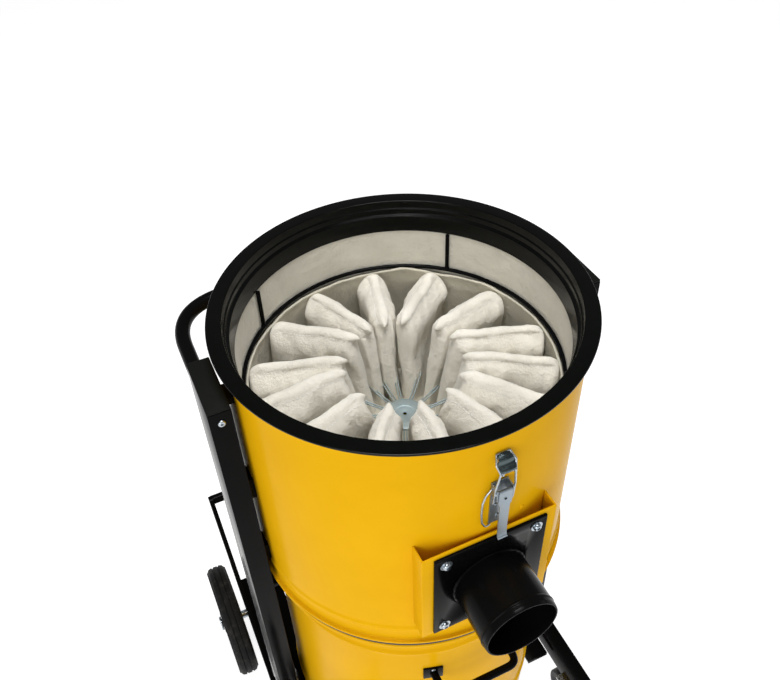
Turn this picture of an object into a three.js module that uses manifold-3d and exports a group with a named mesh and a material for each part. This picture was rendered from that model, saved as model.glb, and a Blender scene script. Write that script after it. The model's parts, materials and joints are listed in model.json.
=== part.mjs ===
// Dust collector with its motor head lifted off: a steel filter chamber held between two
// uprights, a star filter hung in its mouth, and a dust bin that a lever lifts against it.
// Millimetres, +Z up. The origin is on the floor, on the axis of the chamber.
// +Y is the push-handle side and -Y the side with the hose inlet.
import * as THREE from 'three';
import { mergeVertices } from 'three/addons/utils/BufferGeometryUtils.js';
import Module from 'manifold-3d';

// ---- driving dimensions ----
const RIM_Z = 1000;              // top face of the rim ring above the floor
const GAP = 0.3;                 // between pieces that touch
const ROUND = 64;                // segments of a large round piece
const COARSE = 48;               // segments of one whose roundness matters less

const CHAMBER = { r: 230, wall: 2, top: RIM_Z - 3.3, bottom: 590, flangeR: 236, flangeT: 4 };
const RIM = { lipR: 240, lipT: 3, faceR: 220, mouthR: 211, depth: 46 };
const SLEEVE = { r: 213.5, wall: 1.5, bottom: RIM_Z - 330 };
const FLOOR = { innerR: 36, innerZ: RIM_Z - 226, outerZ: RIM_Z - 327, wall: 2 };
const POCKET = {
  innerR: 80, outerR: 207, top: RIM_Z - 101, outerTop: RIM_Z - 113, clear: 7,
  innerT: 12, outerT: 24, taper: 60,
};
const HUB = { r: 28.7, z: RIM_Z - 205, t: 2, hole: 2.2 };
const CAGE = { wire: 1.5, reach: 76, rise: 6, root: 2.6, spread: 4 };
const RING = { r: 209.6, z: RIM_Z - 109, wire: 2.9, rods: [46.5, 132.5, 226.5, 312.5] };

const POST = { x: 237, w: 28.5, d: 92, top: RIM_Z - 34, bottom: 138.3, wall: 2 };
const CAP = { t: 4, plug: 12, screwZ: RIM_Z - 50, screwR: 4.7, screwH: 2.8 };
const LUG = {
  front: -27, back: -1, inner: 215, tops: [RIM_Z - 35, RIM_Z - 190, RIM_Z - 340], h: [11, 38, 38],
};
const HANDLE = { r: 10.5, z: RIM_Z - 110, back: 253, bend: 88 };
const RAIL = { z: 98, h: 40, front: -240, back: 270, wall: 2.5 };
const AXLE = { y: 210, z: 110, r: 8 };
const WHEEL = { r: 110, x: 303, w: 38, hubR: 78 };
const CASTER = { x: 251, y: -203, r: 38, w: 24, trail: 28, plate: 4 };

const BIN = { r: 215, wall: 2, bottom: 118.3, top: 577, rimR: 232 };
const ROLLER = { r: 35, w: 22, x: 140, y: 105, z: 50 };
const FORK = { z: 108, t: 10, inner: 188, outer: 229, front: -130, back: 222 };
const LIFT = { z: 190, crank: 23.6, lean: 18.5, barY: 281, barZ: 420, armX: 268.3, armT: 8 };

const INLET = { z: RIM_Z - 270, r: 50, wall: 3, front: -320, back: -218 };
const BRACKET = { y: -236.5, t: 2.5, halfW: 92, top: RIM_Z - 180.5, bottom: RIM_Z - 359.5 };
const LATCH = { x: 8.5, pinY: -241, pinZ: RIM_Z - 97, linkZ: RIM_Z - 116, hookZ: RIM_Z - 57 };

// ---- materials ----
const paint = (color, roughness, metalness) =>
  new THREE.MeshStandardMaterial({ color, roughness, metalness });
const YELLOW = paint(0xf2b40c, 0.28, 0.1);
const BLACK = paint(0x0d0d0d, 0.3, 0.1);
const MATTE = paint(0x161616, 0.7, 0);
const RUBBER = paint(0x0b0b0b, 0.5, 0);
const FELT = paint(0xdad6c8, 0.95, 0);
const ZINC = paint(0xb4b9bb, 0.3, 0.9);
const PLASTIC = paint(0x2a2a2a, 0.55, 0);
const GREY = paint(0x8d9194, 0.4, 0.7);

// ---- making and joining solids ----
const wasm = await Module();
wasm.setup();

function toSolid(geometry) {
  const bare = geometry.clone();
  bare.deleteAttribute('normal');
  bare.deleteAttribute('uv');
  const merged = mergeVertices(bare, 1e-4);
  return new wasm.Manifold(new wasm.Mesh({
    numProp: 3,
    vertProperties: new Float32Array(merged.attributes.position.array),
    triVerts: new Uint32Array(merged.index.array),
  }));
}

function toGeometry(solid) {
  const mesh = solid.getMesh();
  const geometry = new THREE.BufferGeometry();
  geometry.setAttribute('position', new THREE.BufferAttribute(mesh.vertProperties, 3));
  geometry.setIndex(new THREE.BufferAttribute(mesh.triVerts, 1));
  geometry.computeVertexNormals();
  return geometry;
}

const join = (...pieces) => toGeometry(pieces.map(toSolid).reduce((a, b) => a.add(b)));
const cut = (piece, ...tools) =>
  toGeometry(tools.map(toSolid).reduce((a, b) => a.subtract(b), toSolid(piece)));

// Box between two corners.
function block(x0, x1, y0, y1, z0, z1) {
  const [w, d, h] = [Math.abs(x1 - x0), Math.abs(y1 - y0), Math.abs(z1 - z0)];
  return new THREE.BoxGeometry(w, d, h)
    .translate((x0 + x1) / 2, (y0 + y1) / 2, (z0 + z1) / 2);
}

// Cylinder from one end to the other.
function rod(from, to, r, sides = 12) {
  const a = new THREE.Vector3(...from);
  const b = new THREE.Vector3(...to);
  const length = a.distanceTo(b);
  const turn = new THREE.Quaternion().setFromUnitVectors(
    new THREE.Vector3(0, 1, 0), b.clone().sub(a).normalize());
  return new THREE.CylinderGeometry(r, r, length, sides)
    .applyQuaternion(turn).translate(...a.clone().add(b).divideScalar(2).toArray());
}

// Solid of revolution about Z: the section is a closed loop of [r, z], counter-clockwise.
function turned(section, segments = ROUND) {
  const loop = [...section, section[0]].map(([r, z]) => new THREE.Vector2(r, z));
  return new THREE.LatheGeometry(loop, segments).rotateX(Math.PI / 2);
}

// Ring of revolution about Z with a rectangular section.
const collar = (r0, r1, z0, z1, segments = ROUND) =>
  turned([[r0, z0], [r1, z0], [r1, z1], [r0, z1]], segments);

// Evenly spaced points on a circle.
function ringPoints(r, sides) {
  return Array.from({ length: sides }, (_, i) => new THREE.Vector2(r, 0)
    .rotateAround(new THREE.Vector2(), (2 * Math.PI * i) / sides));
}

// Round bar bent along a curve.
function bar(curve, r, steps, sides = 10) {
  const section = new THREE.Shape(ringPoints(r, sides));
  return new THREE.ExtrudeGeometry(section, { steps, extrudePath: curve, bevelEnabled: false });
}

// Path with straight runs and rounded corners through the given points.
function bentPath(points, radius) {
  const path = new THREE.CurvePath();
  const p = points.map((q) => new THREE.Vector3(...q));
  let start = p[0];
  for (let i = 1; i < p.length - 1; i += 1) {
    const into = p[i].clone().sub(p[i - 1]).normalize();
    const out = p[i + 1].clone().sub(p[i]).normalize();
    const inset = radius * Math.tan(into.angleTo(out) / 2);
    const from = p[i].clone().addScaledVector(into, -inset);
    const to = p[i].clone().addScaledVector(out, inset);
    path.add(new THREE.LineCurve3(start, from));
    path.add(new THREE.QuadraticBezierCurve3(from, p[i], to));
    start = to;
  }
  path.add(new THREE.LineCurve3(start, p[p.length - 1]));
  return path;
}

const collector = new THREE.Group();
function add(name, geometry, material, parent = collector) {
  const mesh = new THREE.Mesh(geometry, material);
  mesh.name = name;
  parent.add(mesh);
  return mesh;
}

const degrees = (d) => THREE.MathUtils.degToRad(d);
const SIDES = [['left', -1], ['right', 1]];

// ---- filter chamber and hose inlet ----
function filterChamber() {
  const { r, wall, top, bottom, flangeR, flangeT } = CHAMBER;
  const shell = turned([
    [r - wall, bottom], [flangeR, bottom], [flangeR, bottom + flangeT],
    [r, bottom + flangeT], [r, top], [r - wall, top],
  ]);
  const inletHole = rod([0, -r - 20, INLET.z], [0, -r + 40, INLET.z], INLET.r + GAP, 32);
  add('filter_chamber', cut(shell, inletHole), YELLOW);
}

function hoseInlet() {
  const { y, t, halfW, top, bottom } = BRACKET;
  const outer = block(-halfW, halfW, y, -150, bottom, top);
  const inside = block(-halfW + t, halfW - t, y + t, -100, bottom - 5, top + 5);
  const drum = rod([0, 0, bottom - 5], [0, 0, top + 5], CHAMBER.r + GAP, ROUND);
  const hole = rod([0, y - 30, INLET.z], [0, y + 40, INLET.z], INLET.r + GAP, 32);
  add('inlet_bracket', cut(outer, inside, drum, hole), YELLOW);

  const flange = block(-77, 77, y - GAP - 4, y - GAP, INLET.z - 84, INLET.z + 84);
  const bolts = [-1, 1].flatMap((sx) => [-1, 1].map((sz) => rod(
    [62 * sx, y - GAP - 3, INLET.z + 70 * sz], [62 * sx, y - GAP - 8.5, INLET.z + 70 * sz], 6, 6)));
  const { r, wall, front, back } = INLET;
  const length = back - front;
  const socket = turned([
    [r - wall, 0], [r, 0], [r, length - 4], [r - 1.5, length], [r - wall, length],
  ], 24).rotateX(Math.PI / 2).translate(0, back, INLET.z);
  const bore = rod([0, front - 5, INLET.z], [0, back + 5, INLET.z], r - wall, 24);
  add('inlet_socket', cut(join(flange, ...bolts, socket), bore), BLACK);
}

// ---- filter: rim ring, felt sleeve with its floor, pockets, wire frame ----
function rimRing() {
  const { lipR, lipT, faceR, mouthR, depth } = RIM;
  const seat = CHAMBER.r - CHAMBER.wall - GAP;
  const section = [
    [mouthR, -depth], [seat, -depth], [seat, -lipT], [lipR, -lipT], [lipR, 0], [faceR, 0],
    [faceR - 0.5, -11], [218, -12.5], [218, -20], [214.5, -23],
  ].map(([r, z]) => [r, RIM_Z + z]);
  add('rim_ring', turned(section), RUBBER);
}

function filterSleeve() {
  const { r, wall, bottom } = SLEEVE;
  const { innerR, innerZ, outerZ, wall: t } = FLOOR;
  add('filter_sleeve', turned([
    [innerR, innerZ - t], [r, bottom], [r + wall, bottom],
    [r + wall, RIM_Z - RIM.depth - GAP], [r, RIM_Z - RIM.depth - GAP], [r, outerZ],
    [innerR, innerZ],
  ], COARSE), FELT);
}

// Ridge of each pocket: azimuth at its inner and at its outer end. The sewn felt stands
// unevenly, so the ridges lean a little either way from an even spacing.
const RIDGES = [
  [10, 355], [29, 23], [67, 52], [85, 78], [101, 105], [118, 129], [150, 155],
  [168, 175], [205, 198], [231, 231], [260, 265], [291, 291], [316, 314], [340, 336],
];

function floorZ(r) {
  const slope = (FLOOR.outerZ - FLOOR.innerZ) / (SLEEVE.r - FLOOR.innerR);
  return FLOOR.innerZ + slope * (r - FLOOR.innerR);
}

function filterPocket(index, [innerAzimuth, outerAzimuth]) {
  const { innerR, outerR, top, outerTop, clear, innerT, outerT, taper } = POCKET;
  const at = (r, azimuth) => new THREE.Vector2(r, 0)
    .rotateAround(new THREE.Vector2(), degrees(azimuth));
  const from = at(innerR, innerAzimuth);
  const run = at(outerR, outerAzimuth).sub(from);
  const length = run.length();
  const outline = new THREE.Shape([
    new THREE.Vector2(0, floorZ(innerR) + clear),
    new THREE.Vector2(length, floorZ(outerR) + clear),
    new THREE.Vector2(length, outerTop - 12),
    new THREE.Vector2(length - 14, outerTop),
    new THREE.Vector2(length / 2, (top + outerTop) / 2 + 4),
    new THREE.Vector2(8, top),
    new THREE.Vector2(0, top - 8),
  ]);
  const plate = new THREE.ExtrudeGeometry(outline, { depth: 1, bevelEnabled: false });
  const position = plate.attributes.position;
  for (let i = 0; i < position.count; i += 1) {
    const thickness = innerT + (outerT - innerT) * Math.min(1, position.getX(i) / taper);
    position.setZ(i, (position.getZ(i) - 0.5) * thickness);
  }
  plate.rotateX(Math.PI / 2);
  const name = `filter_pocket_${String(index + 1).padStart(2, '0')}`;
  const mesh = add(name, plate, FELT);
  mesh.position.set(from.x, from.y, 0);
  mesh.rotation.z = Math.atan2(run.y, run.x);
}

function supportRing() {
  const { r, z, wire, rods } = RING;
  const hoop = turned(ringPoints(wire, 6).map((p) => [r + p.x, z + p.y]), COARSE);
  const hangers = rods.map((a) => {
    const [x, y] = [r * Math.cos(degrees(a)), r * Math.sin(degrees(a))];
    return rod([x, y, z], [x, y, RIM_Z - RIM.depth - GAP], wire, 6);
  });
  add('support_ring', join(hoop, ...hangers), BLACK);
}

// Midway between the ridges, where the cage's wires lie.
function slotAzimuths() {
  return RIDGES.map(([inner], i) => {
    const next = RIDGES[(i + 1) % RIDGES.length][0];
    return inner + (((next - inner) + 360) % 360) / 2;
  });
}

function filterCage() {
  const { r, z, t, hole } = HUB;
  const { wire, reach, rise, root, spread } = CAGE;
  const disc = collar(hole, r, z - t, z, 32);
  const wires = slotAzimuths().flatMap((azimuth) => [-1, 1].map((side) =>
    rod([r - 4, root * side, z - t / 2], [reach, spread * side, z + rise], wire, 4)
      .rotateZ(degrees(azimuth))));
  add('filter_cage', join(disc, ...wires), ZINC);
}

// ---- uprights, caps and push handle ----
function uprights() {
  const { x, w, d, top, bottom, wall } = POST;
  for (const [side, s] of SIDES) {
    const tube = block(s * x, s * (x + w), -d / 2, d / 2, bottom, top);
    const bore = block(s * (x + wall), s * (x + w - wall), -d / 2 + wall, d / 2 - wall,
      bottom - 1, top + 1);
    const lugs = LUG.tops.map((z, i) =>
      block(s * LUG.inner, s * (x + 0.5), LUG.front, LUG.back, z - LUG.h[i], z));
    const drum = rod([0, 0, bottom], [0, 0, RIM_Z], CHAMBER.r + GAP, ROUND);
    const shaftHole = rod([s * (x - 5), 0, LIFT.z], [s * (x + w + 5), 0, LIFT.z], 10 + GAP, 24);
    const body = join(cut(tube, bore), ...lugs);
    add(`${side}_upright`, cut(body, drum, shaftHole), BLACK);

    // Moulded cap whose skirt plugs the tube, held by a pan-head screw.
    const head = block(s * x, s * (x + w), -d / 2, d / 2, top + GAP, top + CAP.t);
    const plug = block(s * (x + wall + GAP), s * (x + w - wall - GAP),
      -d / 2 + wall + GAP, d / 2 - wall - GAP, top - CAP.plug, top + 1);
    add(`${side}_cap`, join(head, plug), MATTE);
  }
}

function capScrews() {
  const { screwR, screwH, screwZ } = CAP;
  const dome = [
    [0, 0], [screwR, 0], [0.96 * screwR, screwH / 2], [0.64 * screwR, 0.9 * screwH], [0, screwH],
  ];
  for (const [side, s] of SIDES) {
    const x = s * (POST.x + POST.w / 2);
    const face = -POST.d / 2 - GAP;
    const screw = turned(dome, 16).rotateX(Math.PI / 2).translate(x, face, screwZ);
    add(`${side}_cap_screw`, screw, ZINC);
  }
}

function pushHandle() {
  const { r, z, back, bend } = HANDLE;
  const x = POST.x + POST.w / 2;
  const start = POST.d / 2 + GAP;
  const route = bentPath([[-x, start, z], [-x, back, z], [x, back, z], [x, start, z]], bend);
  add('push_handle', bar(route, r, 40, 10), BLACK);
}

// ---- base frame, rear wheels and front casters ----
function baseFrame() {
  const { z, h, front, back, wall } = RAIL;
  const end = POST.x + POST.w;
  const rails = SIDES.map(([, s]) => block(s * POST.x, s * end, front, back, z, z + h));
  const crossmember = block(-POST.x - 1, POST.x + 1, back - POST.w, back, z, z + h);
  const bores = SIDES.map(([, s]) => block(s * (POST.x + wall), s * (end - wall),
    front + wall, back + 5, z + wall, z + h - wall));
  const axleHole = rod([-end - 5, AXLE.y, AXLE.z], [end + 5, AXLE.y, AXLE.z], AXLE.r + GAP, 16);
  add('base_frame', cut(join(...rails, crossmember), ...bores, axleHole), BLACK);
  for (const [side, s] of SIDES) {
    const stub = rod([s * (POST.x + 1), AXLE.y, AXLE.z], [s * (WHEEL.x + 21), AXLE.y, AXLE.z],
      AXLE.r, 20);
    const head = rod([s * (WHEEL.x + 20.5), AXLE.y, AXLE.z], [s * (WHEEL.x + 24.5), AXLE.y, AXLE.z],
      14, 20);
    add(`${side}_axle`, join(stub, head), GREY);
  }
}

function rearWheels() {
  const { r, x, w, hubR } = WHEEL;
  for (const [side, s] of SIDES) {
    const half = w / 2;
    const hub = turned([
      [AXLE.r + 0.1, -half - 1], [22, -half - 1], [22, -8], [hubR - 10, -8], [hubR - 4, -half + 4],
      [hubR, -half + 4], [hubR, half - 4], [hubR - 4, half - 4], [hubR - 10, 8], [22, 8],
      [22, half + 1], [AXLE.r + 0.1, half + 1],
    ], 24).rotateY(Math.PI / 2);
    add(`${side}_wheel_hub`, hub, PLASTIC).position.set(s * x, AXLE.y, AXLE.z);
    const tyre = turned([
      [hubR + GAP, -half + 2], [r - 8, -half], [r - 2, -half + 4], [r, -half + 11],
      [r, half - 11], [r - 2, half - 4], [r - 8, half], [hubR + GAP, half - 2],
    ], 24).rotateY(Math.PI / 2);
    add(`${side}_tyre`, tyre, RUBBER).position.set(s * x, AXLE.y, AXLE.z);
  }
}

function frontCasters() {
  const { x, y, r, w, trail, plate } = CASTER;
  const top = RAIL.z - GAP;
  for (const [side, s] of SIDES) {
    const flange = block(-26, 26, -32, 32, top - plate, top);
    const race = collar(6.1, 20, top - plate - 5, top - plate + 1, 24);
    const bolts = [-1, 1].map((k) =>
      rod([0, 26 * k, top - plate + 1], [0, 26 * k, top - plate - 4], 4, 6));
    add(`${side}_caster_plate`, join(flange, race, ...bolts), GREY).position.set(s * x, y, 0);

    const crownTop = top - plate - 5 - GAP;
    const crown = block(-17, 17, -20, 20 + trail - 12, crownTop - 3, crownTop);
    const cheeks = [-1, 1].map((k) => {
      const cheek = new THREE.Shape([
        new THREE.Vector2(-14, crownTop - 1), new THREE.Vector2(trail - 11, r - 12),
        new THREE.Vector2(trail + 11, r - 12), new THREE.Vector2(24, crownTop - 1),
      ]);
      return new THREE.ExtrudeGeometry(cheek, { depth: 3, bevelEnabled: false })
        .rotateX(Math.PI / 2).rotateZ(Math.PI / 2).translate(k * 15.5 - 1.5, 0, 0);
    });
    const kingpin = rod([0, 0, crownTop - 1], [0, 0, top - plate - 0.5], 6, 16);
    const spindle = rod([-15.5, trail, r], [15.5, trail, r], 4, 12);
    add(`${side}_caster_fork`, join(crown, ...cheeks, kingpin, spindle), GREY)
      .position.set(s * x, y, 0);

    const wheel = turned([
      [4.1, -w / 2], [r - 3, -w / 2], [r, -w / 2 + 4], [r, w / 2 - 4], [r - 3, w / 2], [4.1, w / 2],
    ], 24).rotateY(Math.PI / 2);
    add(`${side}_caster_wheel`, wheel, PLASTIC).position.set(s * x, y + trail, r);
  }
}

// ---- dust bin ----
function dustBin() {
  const { r, wall, bottom, top, rimR } = BIN;
  const seal = collar(214, rimR, top + GAP, CHAMBER.bottom - GAP, COARSE);
  add('bin_seal', seal, RUBBER);
  add('bin_shell', turned([
    [0, bottom], [r - 6, bottom], [r, bottom + 6], [r, top - 10], [rimR - 2, top - 8], [rimR, top - 5],
    [rimR, top - 2], [rimR - 2, top], [r - wall, top], [r - wall, bottom + 4], [0, bottom + 4],
  ], COARSE), YELLOW);

  for (const [side, s] of [['front', -1], ['rear', 1]]) {
    const z = top - 120;
    const y = s * (r + GAP);
    const route = bentPath([[-60, y * 0.97, z], [-60, s * (r + 34), z], [60, s * (r + 34), z],
      [60, y * 0.97, z]], 16);
    const drum = rod([0, 0, z - 30], [0, 0, z + 30], r + GAP, ROUND);
    const feet = [-60, 60].map((x) => block(x - 16, x + 16, s * 190, s * (r + 2), z - 16, z + 16));
    add(`bin_handle_${side}`, cut(join(bar(route, 6, 22, 8), ...feet), drum), BLACK);
  }
}

function binRollers() {
  const { r, w, x, y, z } = ROLLER;
  const plate = turned([
    [0, BIN.bottom - GAP - 3], [184, BIN.bottom - GAP - 3], [184, BIN.bottom - GAP],
    [0, BIN.bottom - GAP],
  ], 48);
  const corners = [-1, 1].flatMap((sx) => [-1, 1].map((sy) => [sx * x, sy * y]));
  const forks = corners.flatMap(([cx, cy]) => [
    ...[-1, 1].map((k) => block(cx + k * 13, cx + k * 16, cy - 14, cy + 14, z - 12, BIN.bottom - 2)),
    rod([cx - 14.5, cy, z], [cx + 14.5, cy, z], 4, 12),
  ]);
  add('bin_dolly', join(plate, ...forks), GREY);
  corners.forEach(([cx, cy], index) => {
    const wheel = turned([
      [4.1, -w / 2], [r - 3, -w / 2], [r, -w / 2 + 3], [r, w / 2 - 3], [r - 3, w / 2], [4.1, w / 2],
    ], 24).rotateY(Math.PI / 2);
    add(`bin_roller_${index + 1}`, wheel, PLASTIC).position.set(cx, cy, z);
  });
}

// ---- bin lift: fork under the bin, cranks through the uprights, bail lever behind ----
function binLift() {
  const { z, t, inner, outer, front, back } = FORK;
  const { z: pivotZ, crank, lean, barY, barZ, armX, armT } = LIFT;
  const pinY = crank * Math.cos(degrees(lean));
  const pinZ = pivotZ + crank * Math.sin(degrees(lean));
  const end = back + 14;
  const u = new THREE.Shape([
    [-outer, front], [-inner, front], [-inner, back], [inner, back], [inner, front],
    [outer, front], [outer, end], [-outer, end],
  ].map(([px, py]) => new THREE.Vector2(px, py)));
  const bed = new THREE.ExtrudeGeometry(u, { depth: t, bevelEnabled: false }).translate(0, 0, z);
  const tabs = SIDES.map(([, s]) =>
    block(s * (outer - 6.5), s * (outer - 0.5), 2, 44, z + t - 1, pinZ + 14));
  const slot = block(-outer - 5, outer + 5, pinY - 9, pinY + 7, pinZ - 5.4, pinZ + 5.4);
  add('lift_fork', cut(join(bed, ...tabs), slot), BLACK);

  for (const [side, s] of SIDES) {
    const shaft = rod([s * (outer + 1), 0, pivotZ], [s * (armX + armT), 0, pivotZ], 10, 24);
    const web = block(s * (outer + 1), s * (POST.x - 1), -12, pinY + 6, pivotZ - 8, pinZ + 6);
    const pin = rod([s * (outer - 6), pinY, pinZ], [s * (outer + 2), pinY, pinZ], 5, 12);
    add(`${side}_lift_crank`, join(shaft, web, pin), GREY);
  }

  // Bail: two flat arms on the crank shafts, joined by a grip bar behind the bin.
  const reach = Math.hypot(barY, barZ - pivotZ);
  const rise = Math.atan2(barZ - pivotZ, barY);
  const straps = SIDES.map(([, s]) => {
    const strap = block(s * armX, s * (armX + armT), 0, reach, -10, 10);
    const eye = rod([s * armX, 0, 0], [s * (armX + armT), 0, 0], 18, 24);
    const hole = rod([s * (armX - 2), 0, 0], [s * (armX + armT + 2), 0, 0], 10 + GAP, 20);
    return cut(join(strap, eye), hole);
  });
  const grip = rod([-armX - armT / 2, reach - 8, 0], [armX + armT / 2, reach - 8, 0], 9, 16);
  const bail = add('lift_bail', join(...straps, grip), BLACK);
  bail.position.z = pivotZ;
  bail.rotation.x = rise;
}

// ---- toggle latch in front and fixed catch behind, which hold the motor head down ----
function toggleLatch() {
  const { x, pinY, pinZ, linkZ, hookZ } = LATCH;
  const skin = -CHAMBER.r - 0.4;

  const plate = block(x - 11, x + 11, skin - 2, skin, pinZ - 68, pinZ + 9);
  const ears = [-1, 1].map((k) =>
    block(x + k * 9.4, x + k * 11, pinY - 4, skin - 1, pinZ - 10, pinZ + 8));
  const pin = rod([x - 10.5, pinY, pinZ], [x + 10.5, pinY, pinZ], 1.8, 12);
  const rivets = [-24, -56].map((dz) =>
    rod([x, skin - 1, pinZ + dz], [x, skin - 3.6, pinZ + dz], 3.2, 12));
  add('latch_base', join(plate, ...ears, pin, ...rivets), ZINC);

  // Channel lever: face plate, cheeks around the pin and an outward-bent thumb lip.
  const face = block(x - 8, x + 8, pinY - 5.2, pinY - 3.8, pinZ - 78, pinZ + 5.5);
  const cheeks = [-1, 1].map((k) =>
    block(x + k * 6.6, x + k * 8, pinY - 4.5, pinY + 3.4, linkZ - 6, pinZ + 4));
  const lip = block(x - 8, x + 8, -1.4, 0, -14, 0).rotateX(-degrees(32))
    .translate(0, pinY - 3.9, pinZ - 77.4);
  const hole = rod([x - 9, pinY, pinZ], [x + 9, pinY, pinZ], 2.1, 12);
  const eye = rod([x, pinY - 8, pinZ - 8], [x, pinY - 2, pinZ - 8], 1.6, 10);
  add('latch_lever', cut(join(face, ...cheeks, lip), hole, eye), ZINC);

  // Bail: wire legs from the lever up to a sloping hook plate with rolled edges.
  const wire = 1.3;
  const linkY = pinY + 0.5;
  const kneeY = pinY - 4.5;
  const tipZ = hookZ + 18;
  const tipY = skin - 2.2;
  const legs = [-1, 1].flatMap((k) => [
    rod([x + k * 8.3, linkY, linkZ], [x + k * 13.1, linkY, linkZ], wire, 8),
    rod([x + k * 12.6, linkY, linkZ - 1], [x + k * 12, kneeY, hookZ], wire, 8),
    rod([x + k * 12, kneeY + 0.3, hookZ - 1], [x + k * 11, tipY, tipZ], wire, 8),
  ]);
  const bars = [
    rod([x - 12.5, kneeY, hookZ], [x + 12.5, kneeY, hookZ], wire, 8),
    rod([x - 11.5, tipY, tipZ], [x + 11.5, tipY, tipZ], wire, 8),
  ];
  const slope = Math.atan2(tipY - kneeY, tipZ - hookZ);
  const length = Math.hypot(tipY - kneeY, tipZ - hookZ);
  const hook = block(x - 11.5, x + 11.5, -0.7, 0.7, 0, length).rotateX(-slope)
    .translate(0, kneeY, hookZ);
  add('latch_bail', join(...legs, ...bars, hook), ZINC);
}

// Hook plate that the head's rear tongue slides under.
function rearCatch() {
  const skin = CHAMBER.r + 0.4;
  const plate = block(-20, 20, skin, skin + 3, RIM_Z - 75, RIM_Z - 15);
  const shelf = block(-20, 20, skin + 2, skin + 9, RIM_Z - 38, RIM_Z - 35);
  const nose = block(-20, 20, skin + 6.5, skin + 9, RIM_Z - 48, RIM_Z - 35);
  add('rear_catch', join(plate, shelf, nose), ZINC);
}

filterChamber();
hoseInlet();
rimRing();
filterSleeve();
RIDGES.forEach((ridge, index) => filterPocket(index, ridge));
supportRing();
filterCage();
uprights();
capScrews();
pushHandle();
baseFrame();
rearWheels();
frontCasters();
dustBin();
binRollers();
binLift();
toggleLatch();
rearCatch();

export default collector;
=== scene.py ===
"""Looks of the dust collector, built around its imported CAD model. Metres, +Z up."""
import json
import math
import random

import bmesh
import bpy
import numpy as np
from mathutils import Matrix, Vector, noise

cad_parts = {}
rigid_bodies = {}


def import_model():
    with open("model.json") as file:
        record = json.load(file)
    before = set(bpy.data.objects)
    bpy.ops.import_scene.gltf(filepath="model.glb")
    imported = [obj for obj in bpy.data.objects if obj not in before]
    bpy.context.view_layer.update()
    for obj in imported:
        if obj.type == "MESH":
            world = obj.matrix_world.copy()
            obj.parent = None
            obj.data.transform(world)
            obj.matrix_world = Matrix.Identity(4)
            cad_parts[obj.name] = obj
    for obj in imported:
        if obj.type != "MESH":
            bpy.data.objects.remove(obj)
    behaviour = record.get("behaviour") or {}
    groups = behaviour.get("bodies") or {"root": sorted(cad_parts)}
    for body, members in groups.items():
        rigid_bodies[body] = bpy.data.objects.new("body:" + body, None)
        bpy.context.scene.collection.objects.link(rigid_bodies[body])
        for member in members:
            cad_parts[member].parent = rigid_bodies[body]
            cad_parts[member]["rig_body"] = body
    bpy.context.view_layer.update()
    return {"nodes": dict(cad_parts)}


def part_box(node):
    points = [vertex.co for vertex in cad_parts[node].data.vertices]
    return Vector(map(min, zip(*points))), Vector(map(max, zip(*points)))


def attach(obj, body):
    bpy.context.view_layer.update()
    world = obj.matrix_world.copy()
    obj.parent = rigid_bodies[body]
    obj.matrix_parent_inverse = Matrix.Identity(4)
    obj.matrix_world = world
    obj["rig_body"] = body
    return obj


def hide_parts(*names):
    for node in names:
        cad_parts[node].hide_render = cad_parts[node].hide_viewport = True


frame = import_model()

MM = 0.001

# ---------------------------------------------------------------- places from the frame
RIM_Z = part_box("rim_ring")[1].z
LIP_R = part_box("rim_ring")[1].x
RIM_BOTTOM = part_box("rim_ring")[0].z
SLEEVE_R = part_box("filter_sleeve")[1].x
FLOOR_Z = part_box("filter_sleeve")[0].z
RING_WIRE = 2.9 * MM
HUB_TOP = RIM_Z - 0.205
CHAMBER_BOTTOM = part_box("filter_chamber")[0].z
CHAMBER_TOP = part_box("filter_chamber")[1].z
CHAMBER_R = 0.230
LATCH_PIN_Y, LATCH_PIN_Z = -241 * MM, RIM_Z - 97 * MM
LIFT_PIVOT_Z = 190 * MM
LIFT_BAR_Y, LIFT_BAR_Z = 281 * MM, 420 * MM


# ---------------------------------------------------------------- camera
def make_camera():
    """A hand-held view down into the chamber from its inlet side, a little left of the latch."""
    azimuth, elevation = math.radians(-24.5), math.radians(40.41)
    distance = 1.004
    yaw, pitch, roll = (math.radians(a) for a in (-0.91, -2.68, -1.63))
    target = Vector((0, 0, RIM_Z))
    back = Vector((math.sin(azimuth) * math.cos(elevation),
                   -math.cos(azimuth) * math.cos(elevation), math.sin(elevation)))
    ahead = -back
    right = ahead.cross(Vector((0, 0, 1))).normalized()
    up = right.cross(ahead)
    ahead, right = (ahead * math.cos(yaw) + right * math.sin(yaw),
                    right * math.cos(yaw) - ahead * math.sin(yaw))
    ahead, up = (ahead * math.cos(pitch) + up * math.sin(pitch),
                 up * math.cos(pitch) - ahead * math.sin(pitch))
    right, up = (right * math.cos(roll) + up * math.sin(roll),
                 up * math.cos(roll) - right * math.sin(roll))
    camera = bpy.data.objects.new("camera", bpy.data.cameras.new("camera"))
    bpy.context.scene.collection.objects.link(camera)
    camera.matrix_world = Matrix((
        (right.x, up.x, -ahead.x, 0), (right.y, up.y, -ahead.y, 0),
        (right.z, up.z, -ahead.z, 0), (0, 0, 0, 1)))
    camera.location = target + back * distance
    camera.data.sensor_width = 36
    camera.data.lens = 37.75
    camera.data.clip_end = 50
    bpy.context.scene.camera = camera


make_camera()


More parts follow.
